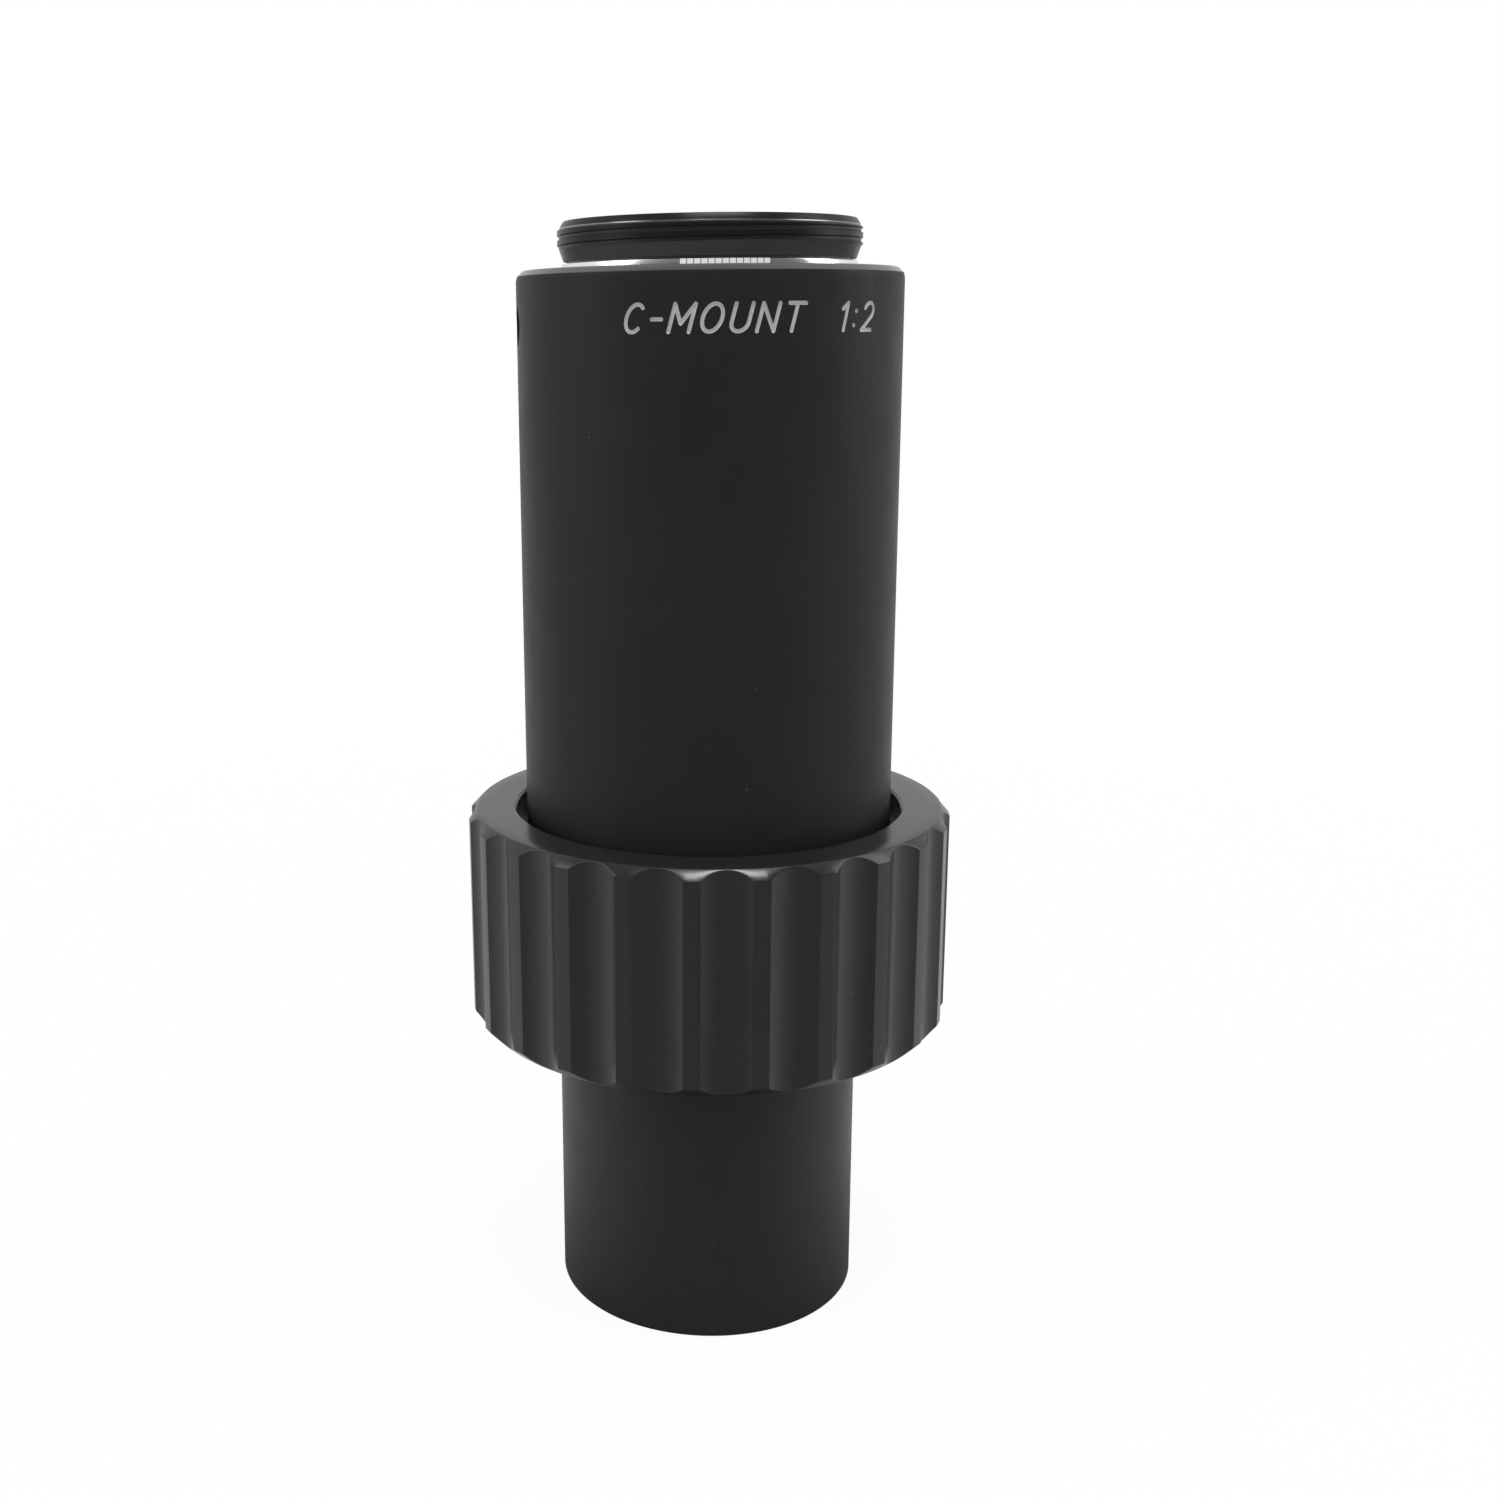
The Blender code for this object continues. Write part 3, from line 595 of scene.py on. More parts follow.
# Painted highlight: a bright, glossy metal band that draws a highlight line under the nose's bevel
BAND_PAINTED_HIGHLIGHT = metal(
    "rubbed_edge", (0.08, 0.08, 0.08), (0.42, 0.42, 0.42), (0.15, 0.22), 0.9, 0.5e-6, 0.5e-6,
)
INNER_BLACK = metal(
    "inner_matt_black", (0.006, 0.006, 0.006), (0.011, 0.011, 0.011), (0.62, 0.8), 0.0,
    2e-6, 4e-6, 0.0, 0.3,
)
# Glossier finish of the barrel's top chamfer, with a lighter tone that paints in part of the rim's
# highlight
CHAMFER_PAINTED_HIGHLIGHT = metal(
    "chamfer_anodised", (0.022, 0.021, 0.020), (0.032, 0.031, 0.030), (0.13, 0.18), 0.0,
    0.8e-6, 0.4e-6, 0.0, 0.9,
)
BRIGHT = metal(
    "bright_turned_aluminium", (0.90, 0.90, 0.91), (0.98, 0.98, 0.98), (0.20, 0.30), 1.0, 1.2e-6, 0.5e-6,
)
WASHER = metal("ground_steel", (0.45, 0.45, 0.46), (0.6, 0.6, 0.6), (0.26, 0.4), 1.0, 2e-6, 0.8e-6)
SCREW_STEEL = metal(
    "blackened_steel", (0.03, 0.03, 0.032), (0.06, 0.06, 0.062), (0.3, 0.45), 0.7, 1e-6, 1e-6,
)
FILL = metal("engraving_fill", (0.34, 0.33, 0.33), (0.46, 0.45, 0.45), (0.4, 0.6), 0.0, 0.0, 6e-6)
WHITE_INK = metal("white_ink", (0.88, 0.88, 0.88), (0.95, 0.95, 0.95), (0.45, 0.6), 0.0, 0.0, 2e-6)
# Painted shade: a grey band behind the marks that darkens the bright ring's front
RING_PAINTED_SHADE = metal("grey_ink", (0.24, 0.24, 0.24), (0.34, 0.34, 0.34), (0.45, 0.6), 0.0, 0.0, 2e-6)
GLASS = coated_glass("coated_glass", (0.75, 0.95, 0.85))


# Barrel and its engraving

def bow(centre_x, centre_y, width, height, start, end, steps=14):
    """Points of an elliptical arc from one angle to another, in degrees anticlockwise from the right."""
    points = []
    for step in range(steps + 1):
        angle = math.radians(start + (end - start) * step / steps)
        points.append((centre_x + width * math.cos(angle), centre_y + height * math.sin(angle)))
    return points


def letters():
    """Each sign as its width and its strokes, in letter heights."""
    return {
        "C": (0.66, [bow(0.36, 0.5, 0.34, 0.5, 48, 312, 18)]),
        "-": (0.36, [[(0.0, 0.46), (0.36, 0.46)]]),
        "M": (0.76, [[(0.0, 0.0), (0.0, 1.0)], [(0.0, 1.0), (0.38, 0.3)], [(0.38, 0.3), (0.76, 1.0)],
                     [(0.76, 1.0), (0.76, 0.0)]]),
        "O": (0.72, [bow(0.36, 0.5, 0.36, 0.5, 0, 360, 28)]),
        "U": (0.64, [[(0.0, 1.0)] + bow(0.32, 0.33, 0.32, 0.33, 180, 360, 12) + [(0.64, 1.0)]]),
        "N": (0.64, [[(0.0, 0.0), (0.0, 1.0)], [(0.0, 1.0), (0.64, 0.0)], [(0.64, 0.0), (0.64, 1.0)]]),
        "T": (0.66, [[(0.0, 1.0), (0.66, 1.0)], [(0.33, 1.0), (0.33, 0.0)]]),
        "1": (0.24, [[(0.0, 0.78), (0.22, 1.0)], [(0.22, 1.0), (0.22, 0.0)]]),
        ":": (0.02, [[(0.0, 0.18), (0.02, 0.18)], [(0.0, 0.7), (0.02, 0.7)]]),
        "2": (0.58, [bow(0.29, 0.7, 0.28, 0.3, 160, -38, 16) + [(0.0, 0.0)], [(0.0, 0.0), (0.58, 0.0)]]),
    }


def on_barrel(spot, word_left, radius_at):
    """Where a point of a sign lies on the barrel, with the letters' slant."""
    x, y = spot
    angle = word_left + (x + y * SLANT) * LETTER_HEIGHT / radius_at
    return around(angle, radius_at, LETTER_BASE + y * LETTER_HEIGHT)


def stroke_tube(points, word_left, radius_at):
    """One stroke laid on the barrel's surface as a round tube with round ends."""
    curve = bpy.data.curves.new("stroke", "CURVE")
    curve.dimensions = "3D"
    curve.bevel_depth = STROKE_RADIUS
    curve.bevel_resolution = 3
    curve.use_fill_caps = True
    spline = curve.splines.new("POLY")
    closed = math.dist(points[0], points[-1]) < NEAR
    laid = points[:-1] if closed else points
    spline.points.add(len(laid) - 1)
    spline.use_cyclic_u = closed
    for point, spot in zip(spline.points, laid):
        point.co = (*on_barrel(spot, word_left, radius_at), 1.0)
    guide = bpy.data.objects.new("stroke", curve)
    bpy.context.scene.collection.objects.link(guide)
    graph = bpy.context.evaluated_depsgraph_get()
    mesh = bpy.data.meshes.new_from_object(guide.evaluated_get(graph))
    bpy.data.objects.remove(guide)
    tube = bmesh.new()
    tube.from_mesh(mesh)
    bmesh.ops.remove_doubles(tube, verts=tube.verts, dist=NEAR)
    if not closed:
        for spot in (points[0], points[-1]):
            bmesh.ops.create_uvsphere(
                tube, u_segments=12, v_segments=8, radius=STROKE_RADIUS * STROKE_END_SHARE,
                matrix=Matrix.Translation(on_barrel(spot, word_left, radius_at)),
            )
    tube.to_mesh(mesh)
    tube.free()
    return mesh


def set_word(tools, word, start, end, radius):
    """Spreads a word's signs evenly between two angles on the barrel. Their strokes join the tools."""
    signs = letters()
    widths = [signs[sign][0] for sign in word]
    room = (end - start) * radius / LETTER_HEIGHT
    gap = (room - sum(widths) - SLANT) / (len(word) - 1)
    left = 0.0
    for sign, width in zip(word, widths):
        word_left = start + left * LETTER_HEIGHT / radius
        for stroke in signs[sign][1]:
            tools.append(stroke_tube(stroke, word_left, radius))
        left += width + gap


def barrel():
    low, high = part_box("main_barrel")
    radius = high.x
    recess_floor = high.z - RING_RECESS_DEPTH
    chamfer_foot = high.z - BARREL_TOP_CHAMFER + BARREL_EDGE_SOFTNESS
    profile = [(radius - BARREL_TOP_CHAMFER, high.z), (radius - BARREL_EDGE_SOFTNESS, chamfer_foot)]
    profile += [(radius, chamfer_foot - 4 * BARREL_EDGE_SOFTNESS)]
    profile += [(radius, low.z), (SOCKET_RADIUS, low.z), (SOCKET_RADIUS, SOCKET_TOP)]
    profile += [(CELL_BORE, SOCKET_TOP), (CELL_BORE, CELL_SEAT), (BARREL_LIGHT_BORE, CELL_SEAT)]
    profile += [(BARREL_LIGHT_BORE, SHANK_FLOOR), (SHANK_BORE, SHANK_FLOOR), (SHANK_BORE, recess_floor)]
    profile += [(RING_RECESS_RADIUS, recess_floor), (RING_RECESS_RADIUS, high.z)]
    solid = spun(profile, 2 * FINE_STEPS)
    break_edges(solid, 2 * EDGE_ROUND, 2, lambda edge: abs(edge.verts[0].co.z - chamfer_foot) > 10 * NEAR)
    piece = finished("barrel_shell", solid, ANODISED, "barrel", "black_anodised", "main_barrel")
    # The top chamfer takes the glossier finish whose lighter tone is a painted highlight
    piece.data.materials.append(CHAMFER_PAINTED_HIGHLIGHT)
    for face in piece.data.polygons:
        if chamfer_foot < face.center.z and face.center.xy.length > radius - BARREL_TOP_CHAMFER:
            face.material_index = CHAMFER_PLACE
    drill = bmesh.new()
    bmesh.ops.create_cone(
        drill, cap_ends=True, segments=SMALL_STEPS // 2,
        radius1=SCREW_HOLE_RADIUS, radius2=SCREW_HOLE_RADIUS, depth=2 * (radius - SHANK_BORE),
        matrix=screw_place((radius + SHANK_BORE) / 2),
    )
    cut(piece, shaped("drill", drill))
    strokes = []
    set_word(strokes, "C-MOUNT", WORD_START, WORD_END, radius)
    set_word(strokes, "1:2", RATIO_START, RATIO_END, radius)
    engraver = bmesh.new()
    for mesh in strokes:
        engraver.from_mesh(mesh)
    cut(piece, shaped("engraver", engraver), FILL, crossing=True)


def screw_place(reach):
    """A frame on the set screw's axis, this far from the optical axis, with its Z pointing outwards."""
    outwards = around(SCREW_TURN, 1.0, 0.0)
    spot = around(SCREW_TURN, reach, SCREW_LEVEL)
    return Matrix.LocRotScale(spot, outwards.to_track_quat("Z", "Y"), None)


def set_screw():
    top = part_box("main_barrel")[1].x - SCREW_SINK
    tip = SCREW_RADIUS - SCREW_TIP_RADIUS
    profile = [(0.0, 0.0), (SCREW_RADIUS - SCREW_CHAMFER, 0.0), (SCREW_RADIUS, -SCREW_CHAMFER)]
    profile += [(SCREW_RADIUS, tip - SCREW_LENGTH), (SCREW_TIP_RADIUS, -SCREW_LENGTH), (0.0, -SCREW_LENGTH)]
    solid = spun(profile, SMALL_STEPS, loop=False)
    piece = finished("lock_screw", solid, SCREW_STEEL, "barrel", "black_screw_steel", "set_screw")
    key = bmesh.new()
    corner = SOCKET_ACROSS_FLATS / 2 / math.cos(math.pi / 6)
    bmesh.ops.create_cone(
        key, cap_ends=True, segments=6, radius1=corner, radius2=corner, depth=2 * SOCKET_DEPTH,
    )
    cut(piece, shaped("key", key))
    piece.data.transform(screw_place(top))


# Port tube with its front lens group

def port_tube():
    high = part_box("port_tube")[1]
    top = high.z
    flange = high.x
    flange_top = TUBE_LENGTH + FLANGE_THICKNESS
    profile = [(SPIGOT_RADIUS, top), (SPIGOT_RADIUS, flange_top), (flange - FLANGE_CHAMFER, flange_top)]
    profile += [(flange, flange_top - FLANGE_CHAMFER), (flange, TUBE_LENGTH + FLANGE_CHAMFER)]
    profile += [(flange - FLANGE_CHAMFER, TUBE_LENGTH), (TUBE_RADIUS, TUBE_LENGTH)]
    profile += [(TUBE_RADIUS, TUBE_FOOT_CHAMFER), (TUBE_RADIUS - TUBE_FOOT_CHAMFER, 0.0)]
    profile += [(LENS_BORE + TUBE_FOOT_CHAMFER, 0.0), (LENS_BORE, TUBE_FOOT_CHAMFER)]
    profile += [(LENS_BORE, FRONT_SEAT), (LIGHT_BORE, FRONT_SEAT), (LIGHT_BORE, STOP_FLOOR)]
    profile += [(STOP_POCKET_RADIUS, STOP_FLOOR), (STOP_POCKET_RADIUS, top)]
    solid = break_edges(spun(profile, FINE_STEPS), TUBE_EDGE_ROUND)
    finished("port_tube_body", solid, TUBE_BLACK, "barrel", "black_anodised", "port_tube")
    thread_top = RETAINER_FOOT - TUBE_THREAD_RELIEF
    inner_thread(
        "port_tube_thread", LENS_BORE, TUBE_THREAD_PITCH, TUBE_THREAD_DEPTH, TUBE_THREAD_FOOT, thread_top,
        "barrel",
    )


def inner_thread(name, radius, pitch, depth, foot, top, body):
    """The ridge of an internal thread, rooted a little way in the wall of its bore."""
    root = radius + INNER_THREAD_ROOT
    crest = radius - depth
    flank = pitch * INNER_THREAD_FLANK
    flat = pitch * INNER_THREAD_CREST
    section = [(root, foot - flank), (root, foot + flank), (crest, foot + flat), (crest, foot - flat)]
    ridge = helix(section, (top - foot) / pitch, pitch, INNER_THREAD_STEPS)
    finished(name, ridge, INNER_BLACK, body, "inner_matt_black")


def slotted_ring(name, node, hole, body):
    """A retaining ring in the place of its solid, with a small round on its edges and two spanner slots."""
    low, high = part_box(node)
    profile = [(high.x, high.z), (high.x, low.z), (hole, low.z), (hole, high.z)]
    ring = break_edges(spun(profile, 2 * SMALL_STEPS))
    piece = finished(name, ring, INNER_BLACK, body, "inner_matt_black", node)
    bar = bmesh.new()
    size = Vector((3 * high.x, SPANNER_SLOT_WIDTH, 2 * SPANNER_SLOT_DEPTH))
    bmesh.ops.create_cube(bar, size=1.0, matrix=Matrix.LocRotScale(Vector((0, 0, low.z)), None, size))
    cut(piece, shaped("slot_cutter", bar))


def fall(curve, reach):
    """How far a spherical face falls back at this reach from its middle."""
    return curve - math.sqrt(curve * curve - reach * reach)


def lens(name, node, lower, upper):
    """A lens with true spherical faces in its solid's place.

    A face is its radius and the way it bulges: 1 up, -1 down and 0 flat.
    """
    low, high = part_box(node)
    foot = low.z + (fall(lower[0], LENS_RADIUS) if lower[1] < 0 else 0.0)
    top = high.z - (fall(upper[0], LENS_RADIUS) if upper[1] > 0 else 0.0)
    profile = lens_face(top, *upper) + lens_face(foot, *lower)[::-1]
    finished(name, spun(profile, SMALL_STEPS, loop=False), GLASS, "barrel", "coated_glass", node)


def lens_face(edge, curve, way, steps=12):
    """Profile points of a lens face from its middle to its edge, whose height is given."""
    if way == 0:
        return [(0.0, edge), (LENS_RADIUS, edge)]
    points = []
    for step in range(steps + 1):
        reach = LENS_RADIUS * step / steps
        points.append((reach, edge + way * (fall(curve, LENS_RADIUS) - fall(curve, reach))))
    return points


def optics():
    flat = (math.inf, 0)
    lens("front_crown_glass", "front_crown_lens", (FRONT_ENTRANCE_CURVE, -1), (FRONT_CEMENT_CURVE, 1))
    lens("front_flint_glass", "front_flint_lens", (FRONT_CEMENT_CURVE, 1), (FRONT_EXIT_CURVE, 1))
    lens("field_glass", "field_lens", flat, (FIELD_CURVE, 1))
    lens("rear_flint_glass", "rear_flint_lens", (REAR_ENTRANCE_CURVE, -1), (REAR_CEMENT_CURVE, -1))
    lens("rear_crown_glass", "rear_crown_lens", (REAR_CEMENT_CURVE, -1), (REAR_EXIT_CURVE, 1))
    lens("camera_side_glass", "camera_side_lens", flat, (CAMERA_SIDE_CURVE, 1))
    slotted_ring("entrance_ring", "front_retaining_ring", ENTRANCE_RING_HOLE, "barrel")


# Coupling nut

def flute_radius(angle, rim):
    """The grip's radius at an angle from a flute's middle: a hollow arc between two lands."""
    half_flute = math.pi / FLUTES - math.asin(LAND_WIDTH / 2 / rim)
    if abs(angle) >= half_flute:
        return rim
    half_chord = rim * math.sin(half_flute)
    chord_depth = rim * math.cos(half_flute) - (rim - FLUTE_DEPTH)
    arc = (half_chord * half_chord + chord_depth * chord_depth) / (2 * chord_depth)
    centre = rim - FLUTE_DEPTH + arc
    across = centre * math.sin(angle)
    return centre * math.cos(angle) - math.sqrt(arc * arc - across * across)


def column_angle(column, rim):
    """Where a column of the nut's mesh stands: the angle of its pitch, and its own angle from there.

    Columns fall on both edges of each land.
    """
    half_pitch = math.pi / FLUTES
    half_flute = half_pitch - math.asin(LAND_WIDTH / 2 / rim)
    per_pitch = LAND_STEPS + FLUTE_STEPS
    pitch_number, place = divmod(column + FLUTE_STEPS // 2, per_pitch)
    if place <= FLUTE_STEPS:
        local = half_flute * (2 * place / FLUTE_STEPS - 1)
    else:
        local = half_flute + 2 * (half_pitch - half_flute) * (place - FLUTE_STEPS) / LAND_STEPS
    return pitch_number * 2 * half_pitch, local


def coupling_nut():
    low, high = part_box("coupling_nut")
    rim = high.x
    top_edge = rim - NUT_TOP_CHAMFER
    foot_edge = rim - NUT_FOOT_CHAMFER
    lip_foot = high.z - NUT_LIP
    profile = [(NUT_BORE + NUT_BORE_BREAK, high.z), (top_edge - NUT_TOP_RING, high.z), (top_edge, high.z)]
    profile += [(rim, high.z - NUT_TOP_CHAMFER), (rim, low.z + NUT_FOOT_CHAMFER), (foot_edge, low.z)]
    profile += [(foot_edge - NUT_FOOT_RING, low.z), (NUT_RECESS + NUT_MOUTH_CHAMFER, low.z)]
    profile += [(NUT_RECESS, low.z + NUT_MOUTH_CHAMFER), (NUT_RECESS, lip_foot), (NUT_BORE, lip_foot)]
    profile += [(NUT_BORE, high.z - NUT_BORE_BREAK)]
    steps = FLUTES * (LAND_STEPS + FLUTE_STEPS)
    solid = spun(profile, steps)
    for vert in solid.verts:
        reach = math.hypot(vert.co.x, vert.co.y)
        column = round((math.atan2(vert.co.x, -vert.co.y) % (2 * math.pi)) / (2 * math.pi) * steps)
        pitch, local = column_angle(column, rim)
        height = vert.co.z
        hollow = flute_radius(local, rim)
        if reach > rim - NEAR and height > (low.z + high.z) / 2:
            reach, height = hollow, high.z - max(hollow - top_edge, 0.0)
        elif reach > rim - NEAR:
            reach, height = hollow, low.z + max(hollow - foot_edge, 0.0)
        elif reach > foot_edge - NEAR or (reach > top_edge - NEAR and height > lip_foot):
            reach = min(reach, hollow)
        vert.co = around(FLUTE_TURN + pitch + local, reach, height)
    bmesh.ops.remove_doubles(solid, verts=solid.verts, dist=2 * NEAR)
    bmesh.ops.recalc_face_normals(solid, faces=solid.faces)
    grip = break_edges(solid, NUT_EDGE_ROUND, 2, lambda edge: nut_edge(edge, low.z))
    finished("fluted_nut", grip, NUT_BLACK, "nut", "black_anodised", "coupling_nut")
    inner_thread(
        "nut_thread", NUT_RECESS, NUT_THREAD_PITCH, NUT_THREAD_DEPTH, low.z + NUT_THREAD_FOOT,
        lip_foot - NUT_THREAD_RELIEF, "nut",
    )


def nut_edge(edge, foot):
    """True for the outer edges of the grip from its top face down to just above its foot."""
    middle = (edge.verts[0].co + edge.verts[1].co) / 2
    outside = middle.xy.length > NUT_RECESS + NUT_MOUTH_CHAMFER + NUT_EDGE_MARGIN
    return outside and middle.z > foot + NUT_EDGE_START


def slip_washer():
    low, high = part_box("slip_washer")
    profile = [(high.x, high.z), (high.x, low.z), (WASHER_BORE, low.z), (WASHER_BORE, high.z)]
    ring = break_edges(spun(profile, FINE_STEPS))
    finished("washer_ring", ring, WASHER, "washer", "washer_steel", "slip_washer")


# Nosepiece and bright ring

def nosepiece():
    low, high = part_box("nosepiece")
    neck_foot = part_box("index_ring")[1].z + NECK_GAP
    neck = NOSE_RADIUS - NECK_DEPTH
    thread_foot = neck_foot + NECK_HEIGHT
    root = NOSE_RADIUS - THREAD_DEPTH
    # Foot of the facet that carries the painted highlight band
    highlight_foot = high.z - HIGHLIGHT_DROP
    profile = [(NOSE_RADIUS - NOSE_BEVEL_WIDTH, high.z)]
    profile += [(NOSE_RADIUS - NOSE_CROWN_SETBACK, high.z - NOSE_CROWN_DROP)]
    profile += [(root - HIGHLIGHT_TOP_SETBACK, highlight_foot + HIGHLIGHT_WIDTH), (root - HIGHLIGHT_FOOT_SETBACK, highlight_foot)]
    profile += [(NOSE_RADIUS, high.z - NOSE_BEVEL_HEIGHT), (NOSE_RADIUS, thread_foot)]
    profile += [(NOSE_RADIUS - NECK_STEP, thread_foot - NECK_STEP), (neck, neck_foot + UNDERCUT_HEIGHT)]
    profile += [(neck - UNDERCUT_DEPTH, neck_foot + UNDERCUT_HEIGHT), (neck - UNDERCUT_DEPTH, neck_foot)]
    profile += [(SHANK_RADIUS, neck_foot), (SHANK_RADIUS, low.z), (NOSE_BORE, low.z)]
    for groove in range(BORE_GROOVES):
        level = low.z + BORE_GROOVE_START + groove * BORE_GROOVE_PITCH
        profile += [(NOSE_BORE, level), (NOSE_BORE + BORE_GROOVE_DEPTH, level + BORE_GROOVE_PITCH / 2)]
        profile += [(NOSE_BORE, level + BORE_GROOVE_PITCH)]
    profile = [point for place, point in enumerate(profile) if place == 0 or point != profile[place - 1]]
    profile += [(NOSE_BORE, high.z - NOSE_BORE_CHAMFER), (NOSE_BORE + NOSE_BORE_CHAMFER, high.z)]
    turned = spun(profile, FINE_STEPS)
    piece = finished("threaded_nose", turned, NOSE_BLACK, "nose", "black_anodised", "nosepiece")
    piece.data.materials.append(NECK_PAINTED_REFLECTION)
    piece.data.materials.append(BAND_PAINTED_HIGHLIGHT)
    for face in piece.data.polygons:
        outside = face.center.xy.length > SHANK_RADIUS + NECK_STEP
        # The neck takes the lighter finish, a painted reflection
        if outside and neck_foot < face.center.z < thread_foot:
            face.material_index = NECK_REFLECTION_PLACE
        # The band under the bevel takes the painted highlight finish
        elif outside and highlight_foot < face.center.z < highlight_foot + HIGHLIGHT_WIDTH:
            face.material_index = HIGHLIGHT_PLACE
    slope = math.tan(THREAD_FLANK)
    mouth = NOSE_RADIUS + CUTTER_CLEARANCE
    root_half = (THREAD_PITCH - CREST_FLAT) / 2 - THREAD_DEPTH * slope
    mouth_half = root_half + (mouth - root) * slope
    start = thread_foot - THREAD_START
    section = [(root, start - root_half), (mouth, start - mouth_half)]
    section += [(mouth, start + mouth_half), (root, start + root_half)]
    turns = (high.z + THREAD_PITCH - start) / THREAD_PITCH
    cutter = shaped("thread_cutter", helix(section, turns, THREAD_PITCH, FINE_STEPS))
    # The groove faces take the lighter finish, painted light that hides their shade
    cut(piece, cutter, THREAD_PAINTED_LIGHT)
    # The painted highlight band stays flat-shaded so that it lights as a thin line
    for face in piece.data.polygons:
        if face.material_index == HIGHLIGHT_PLACE:
            face.use_smooth = False


def bright_ring():
    low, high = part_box("index_ring")
    profile = [(high.x, high.z), (high.x, low.z), (SHANK_BORE, low.z), (SHANK_BORE, high.z)]
    ring = break_edges(spun(profile, FINE_STEPS))
    finished("bright_ring", ring, BRIGHT, "nose", "bright_aluminium", "index_ring")
    pitch = (MARK_END - MARK_START) / (MARKS - 1)
    ring_marks("ring_marks", WHITE_INK, pitch, MARK_WIDTH, MARK_PROUD)
    # A grey band of painted shade behind the marks
    ring_marks("mark_ground", RING_PAINTED_SHADE, pitch, pitch * high.x, MARK_PROUD / 2)


def ring_marks(name, block_finish, pitch, width, proud):
    """A row of blocks on the bright ring's visible part: inked marks, or the grey band of painted shade
    behind them.
    """
    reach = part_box("index_ring")[1]
    middle = (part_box("main_barrel")[1].z + reach.z) / 2
    marks = bmesh.new()
    for mark in range(MARKS):
        angle = MARK_START + pitch * mark
        spot = around(angle, reach.x - MARK_THICKNESS / 2 + proud, middle)
        turn = Matrix.Rotation(angle, 3, "Z").to_quaternion()
        size = Vector((width, MARK_THICKNESS, MARK_HEIGHT))
        bmesh.ops.create_cube(marks, size=1.0, matrix=Matrix.LocRotScale(spot, turn, size))
    finished(name, marks, block_finish, "nose", "bright_aluminium")


def carried_solids():
    """Finishes of the solids that stay: inner pieces seen only through the glass."""
    for name in ("front_spacer", "aperture_stop", "stop_retaining_ring", "rear_lens_cell", "cell_lock_ring",
                 "rear_spacer", "rear_retaining_ring"):
        mesh = frame["nodes"][name].data
        mesh.materials.clear()
        mesh.materials.append(INNER_BLACK)


# Studio

def backwards(tree, place):
    """How far a direction points away from the viewer: -1 is straight in front and 1 straight behind."""
    level = tree.nodes.new("ShaderNodeVectorMath")
    level.operation = "NORMALIZE"
    tree.links.new(place.outputs["Object"], level.inputs[0])
    split = tree.nodes.new("ShaderNodeSeparateXYZ")
    tree.links.new(level.outputs["Vector"], split.inputs[0])
    return split.outputs[1]


def seen_white(name, colour, near_glow):
    """Paper that shows white to the eye and keeps a shadow near its middle.

    In metal it looks dim from the front, and close to the adapter's foot it carries a painted shadow.
    """
    made, tree = new_material(name)
    tree.nodes.clear()
    out = tree.nodes.new("ShaderNodeOutputMaterial")
    paper = tree.nodes.new("ShaderNodeBsdfDiffuse")
    paper.inputs["Color"].default_value = (*colour, 1.0)
    shine = tree.nodes.new("ShaderNodeEmission")
    shine.inputs["Color"].default_value = (1.0, 1.0, 1.0, 1.0)
    place = tree.nodes.new("ShaderNodeTexCoord")
    away = tree.nodes.new("ShaderNodeVectorMath")
    away.operation = "LENGTH"
    tree.links.new(place.outputs["Object"], away.inputs[0])
    glow = ramp(tree, away.outputs["Value"], SHADOW_REACH, 2 * SHADOW_REACH, near_glow, 1.0)
    level = ramp(tree, backwards(tree, place), FADE_FRONT, FADE_SIDE, FRONT_LEVEL, BACK_LEVEL)
    # Painted shadow: the paper seen in metal is dimmed round the adapter's foot
    foot = ramp(tree, away.outputs["Value"], FOOT_DIM, FOOT_CLEAR, PAINTED_SHADOW_LEVEL, 1.0)
    level = math_node(tree, "MULTIPLY", level, foot)
    path = tree.nodes.new("ShaderNodeLightPath")
    mirrored = math_node(tree, "MULTIPLY", path.outputs["Is Glossy Ray"], level)
    seen = math_node(tree, "MAXIMUM", path.outputs["Is Camera Ray"], path.outputs["Is Transmission Ray"])
    tree.links.new(math_node(tree, "MAXIMUM", seen, mirrored), shine.inputs["Strength"])
    shown = math_node(tree, "MAXIMUM", seen, path.outputs["Is Glossy Ray"])
    share = math_node(tree, "MULTIPLY", shown, glow)
    mix = tree.nodes.new("ShaderNodeMixShader")
    tree.links.new(share, mix.inputs["Fac"])
    tree.links.new(paper.outputs[0], mix.inputs[1])
    tree.links.new(shine.outputs[0], mix.inputs[2])
    tree.links.new(mix.outputs[0], out.inputs["Surface"])
    return made


def stage():
    """A round floor under the adapter and a curved wall behind it."""
    floor = bmesh.new()
    bmesh.ops.create_circle(floor, cap_ends=True, segments=FLOOR_STEPS, radius=FLOOR_RADIUS)
    bmesh.ops.translate(floor, verts=floor.verts, vec=(0, 0, -FLOOR_DROP))
    staged("studio_floor", floor, seen_white("white_floor", FLOOR_PAPER, FLOOR_GLOW))
    wall = bmesh.new()
    upright = [wall.verts.new(around(WALL_START, WALL_RADIUS, level)) for level in (0.0, WALL_HEIGHT)]
    edge = wall.edges.new(upright)
    bmesh.ops.spin(
        wall, geom=upright + [edge], cent=(0, 0, 0), axis=(0, 0, 1), dvec=(0, 0, 0),
        angle=WALL_SWEEP, steps=WALL_STEPS, use_merge=False, use_duplicate=False,
    )
    staged("studio_wall", wall, seen_white("white_wall", WALL_PAPER, WALL_GLOW))


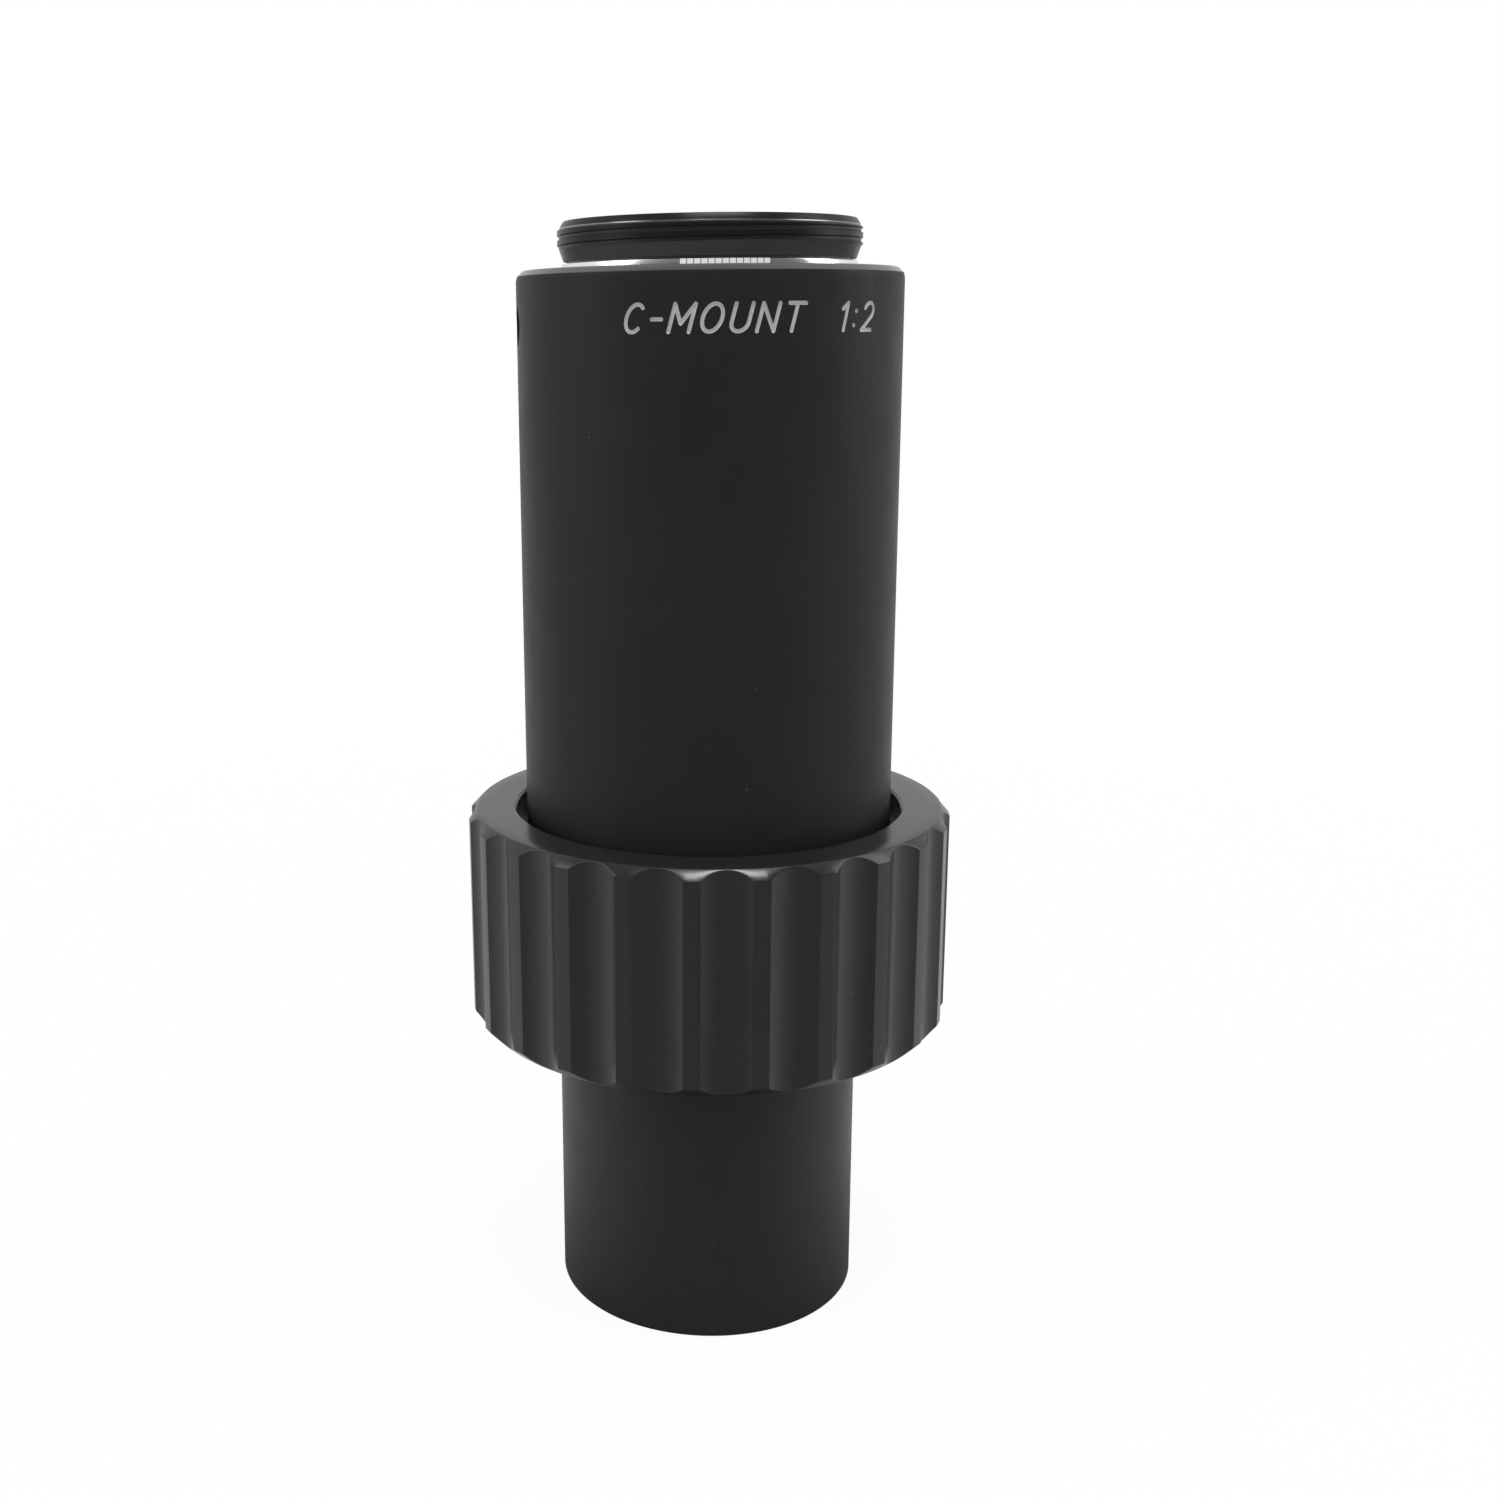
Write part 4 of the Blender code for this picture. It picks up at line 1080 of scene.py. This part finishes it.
def staged(name, solid, finish):
    """A piece of the studio, which is no part of the adapter."""
    piece = shaped(name, solid)
    piece.data.materials.append(finish)


def softbox(name, place, size, power):
    """A rectangular lamp that faces the middle of the adapter."""
    data = bpy.data.lights.new(name, "AREA")
    data.shape = "RECTANGLE"
    data.size, data.size_y = size
    data.energy = power
    lamp = bpy.data.objects.new(name, data)
    bpy.context.scene.collection.objects.link(lamp)
    lamp.location = place
    target = Vector((0.0, 0.0, LAMP_AIM))
    lamp.rotation_euler = (target - lamp.location).to_track_quat("-Z", "Y").to_euler()


def world():
    """Even soft light on matt surfaces. In metal the air is bright behind the adapter and dim in front."""
    made = bpy.data.worlds.new("studio_air")
    bpy.context.scene.world = made
    made.use_nodes = True
    tree = made.node_tree
    tree.nodes.clear()
    out = tree.nodes.new("ShaderNodeOutputWorld")
    air = tree.nodes.new("ShaderNodeBackground")
    air.inputs["Color"].default_value = (1.0, 1.0, 1.0, 1.0)
    path = tree.nodes.new("ShaderNodeLightPath")
    seen = math_node(tree, "MAXIMUM", path.outputs["Is Camera Ray"], path.outputs["Is Transmission Ray"])
    soft = math_node(tree, "MULTIPLY", path.outputs["Is Diffuse Ray"], AIR_SOFT)
    place = tree.nodes.new("ShaderNodeTexCoord")
    level = ramp(tree, backwards(tree, place), AIR_FADE_START, AIR_FADE_END, AIR_FRONT, AIR_BACK)
    mirrored = math_node(tree, "MULTIPLY", path.outputs["Is Glossy Ray"], level)
    strength = math_node(tree, "MAXIMUM", seen, math_node(tree, "ADD", soft, mirrored))
    tree.links.new(strength, air.inputs["Strength"])
    tree.links.new(air.outputs[0], out.inputs["Surface"])


def camera():
    """The photograph's own view."""
    data = bpy.data.cameras.new("photo_view")
    data.sensor_width = SENSOR_WIDTH
    data.lens = FOCAL_PIXELS / PHOTO_SIZE * SENSOR_WIDTH
    data.shift_x = (PHOTO_SIZE / 2 - AXIS_PIXEL) / PHOTO_SIZE
    data.clip_start = CAMERA_NEAR_LIMIT
    view = bpy.data.objects.new("photo_view", data)
    bpy.context.scene.collection.objects.link(view)
    view.location = (0.0, -CAMERA_DISTANCE, CAMERA_HEIGHT)
    aim = Matrix.Rotation(math.pi / 2 - CAMERA_PITCH, 3, "X") @ Matrix.Rotation(CAMERA_YAW, 3, "Y")
    view.rotation_euler = (aim @ Matrix.Rotation(CAMERA_ROLL, 3, "Z")).to_euler()
    bpy.context.scene.camera = view


camera()
world()
stage()
softbox("left_box", (-0.9, -0.25, 0.5), (0.5, 0.9), 3.4)
softbox("right_box", (0.9, 0.1, 0.5), (0.5, 0.9), 3.2)
softbox("top_box", (0.07, -0.29, 0.98), (0.5, 0.2), 6.2)
port_tube()
barrel()
set_screw()
optics()
coupling_nut()
slip_washer()
nosepiece()
bright_ring()
carried_solids()
bpy.context.scene.view_settings.view_transform = "Standard"
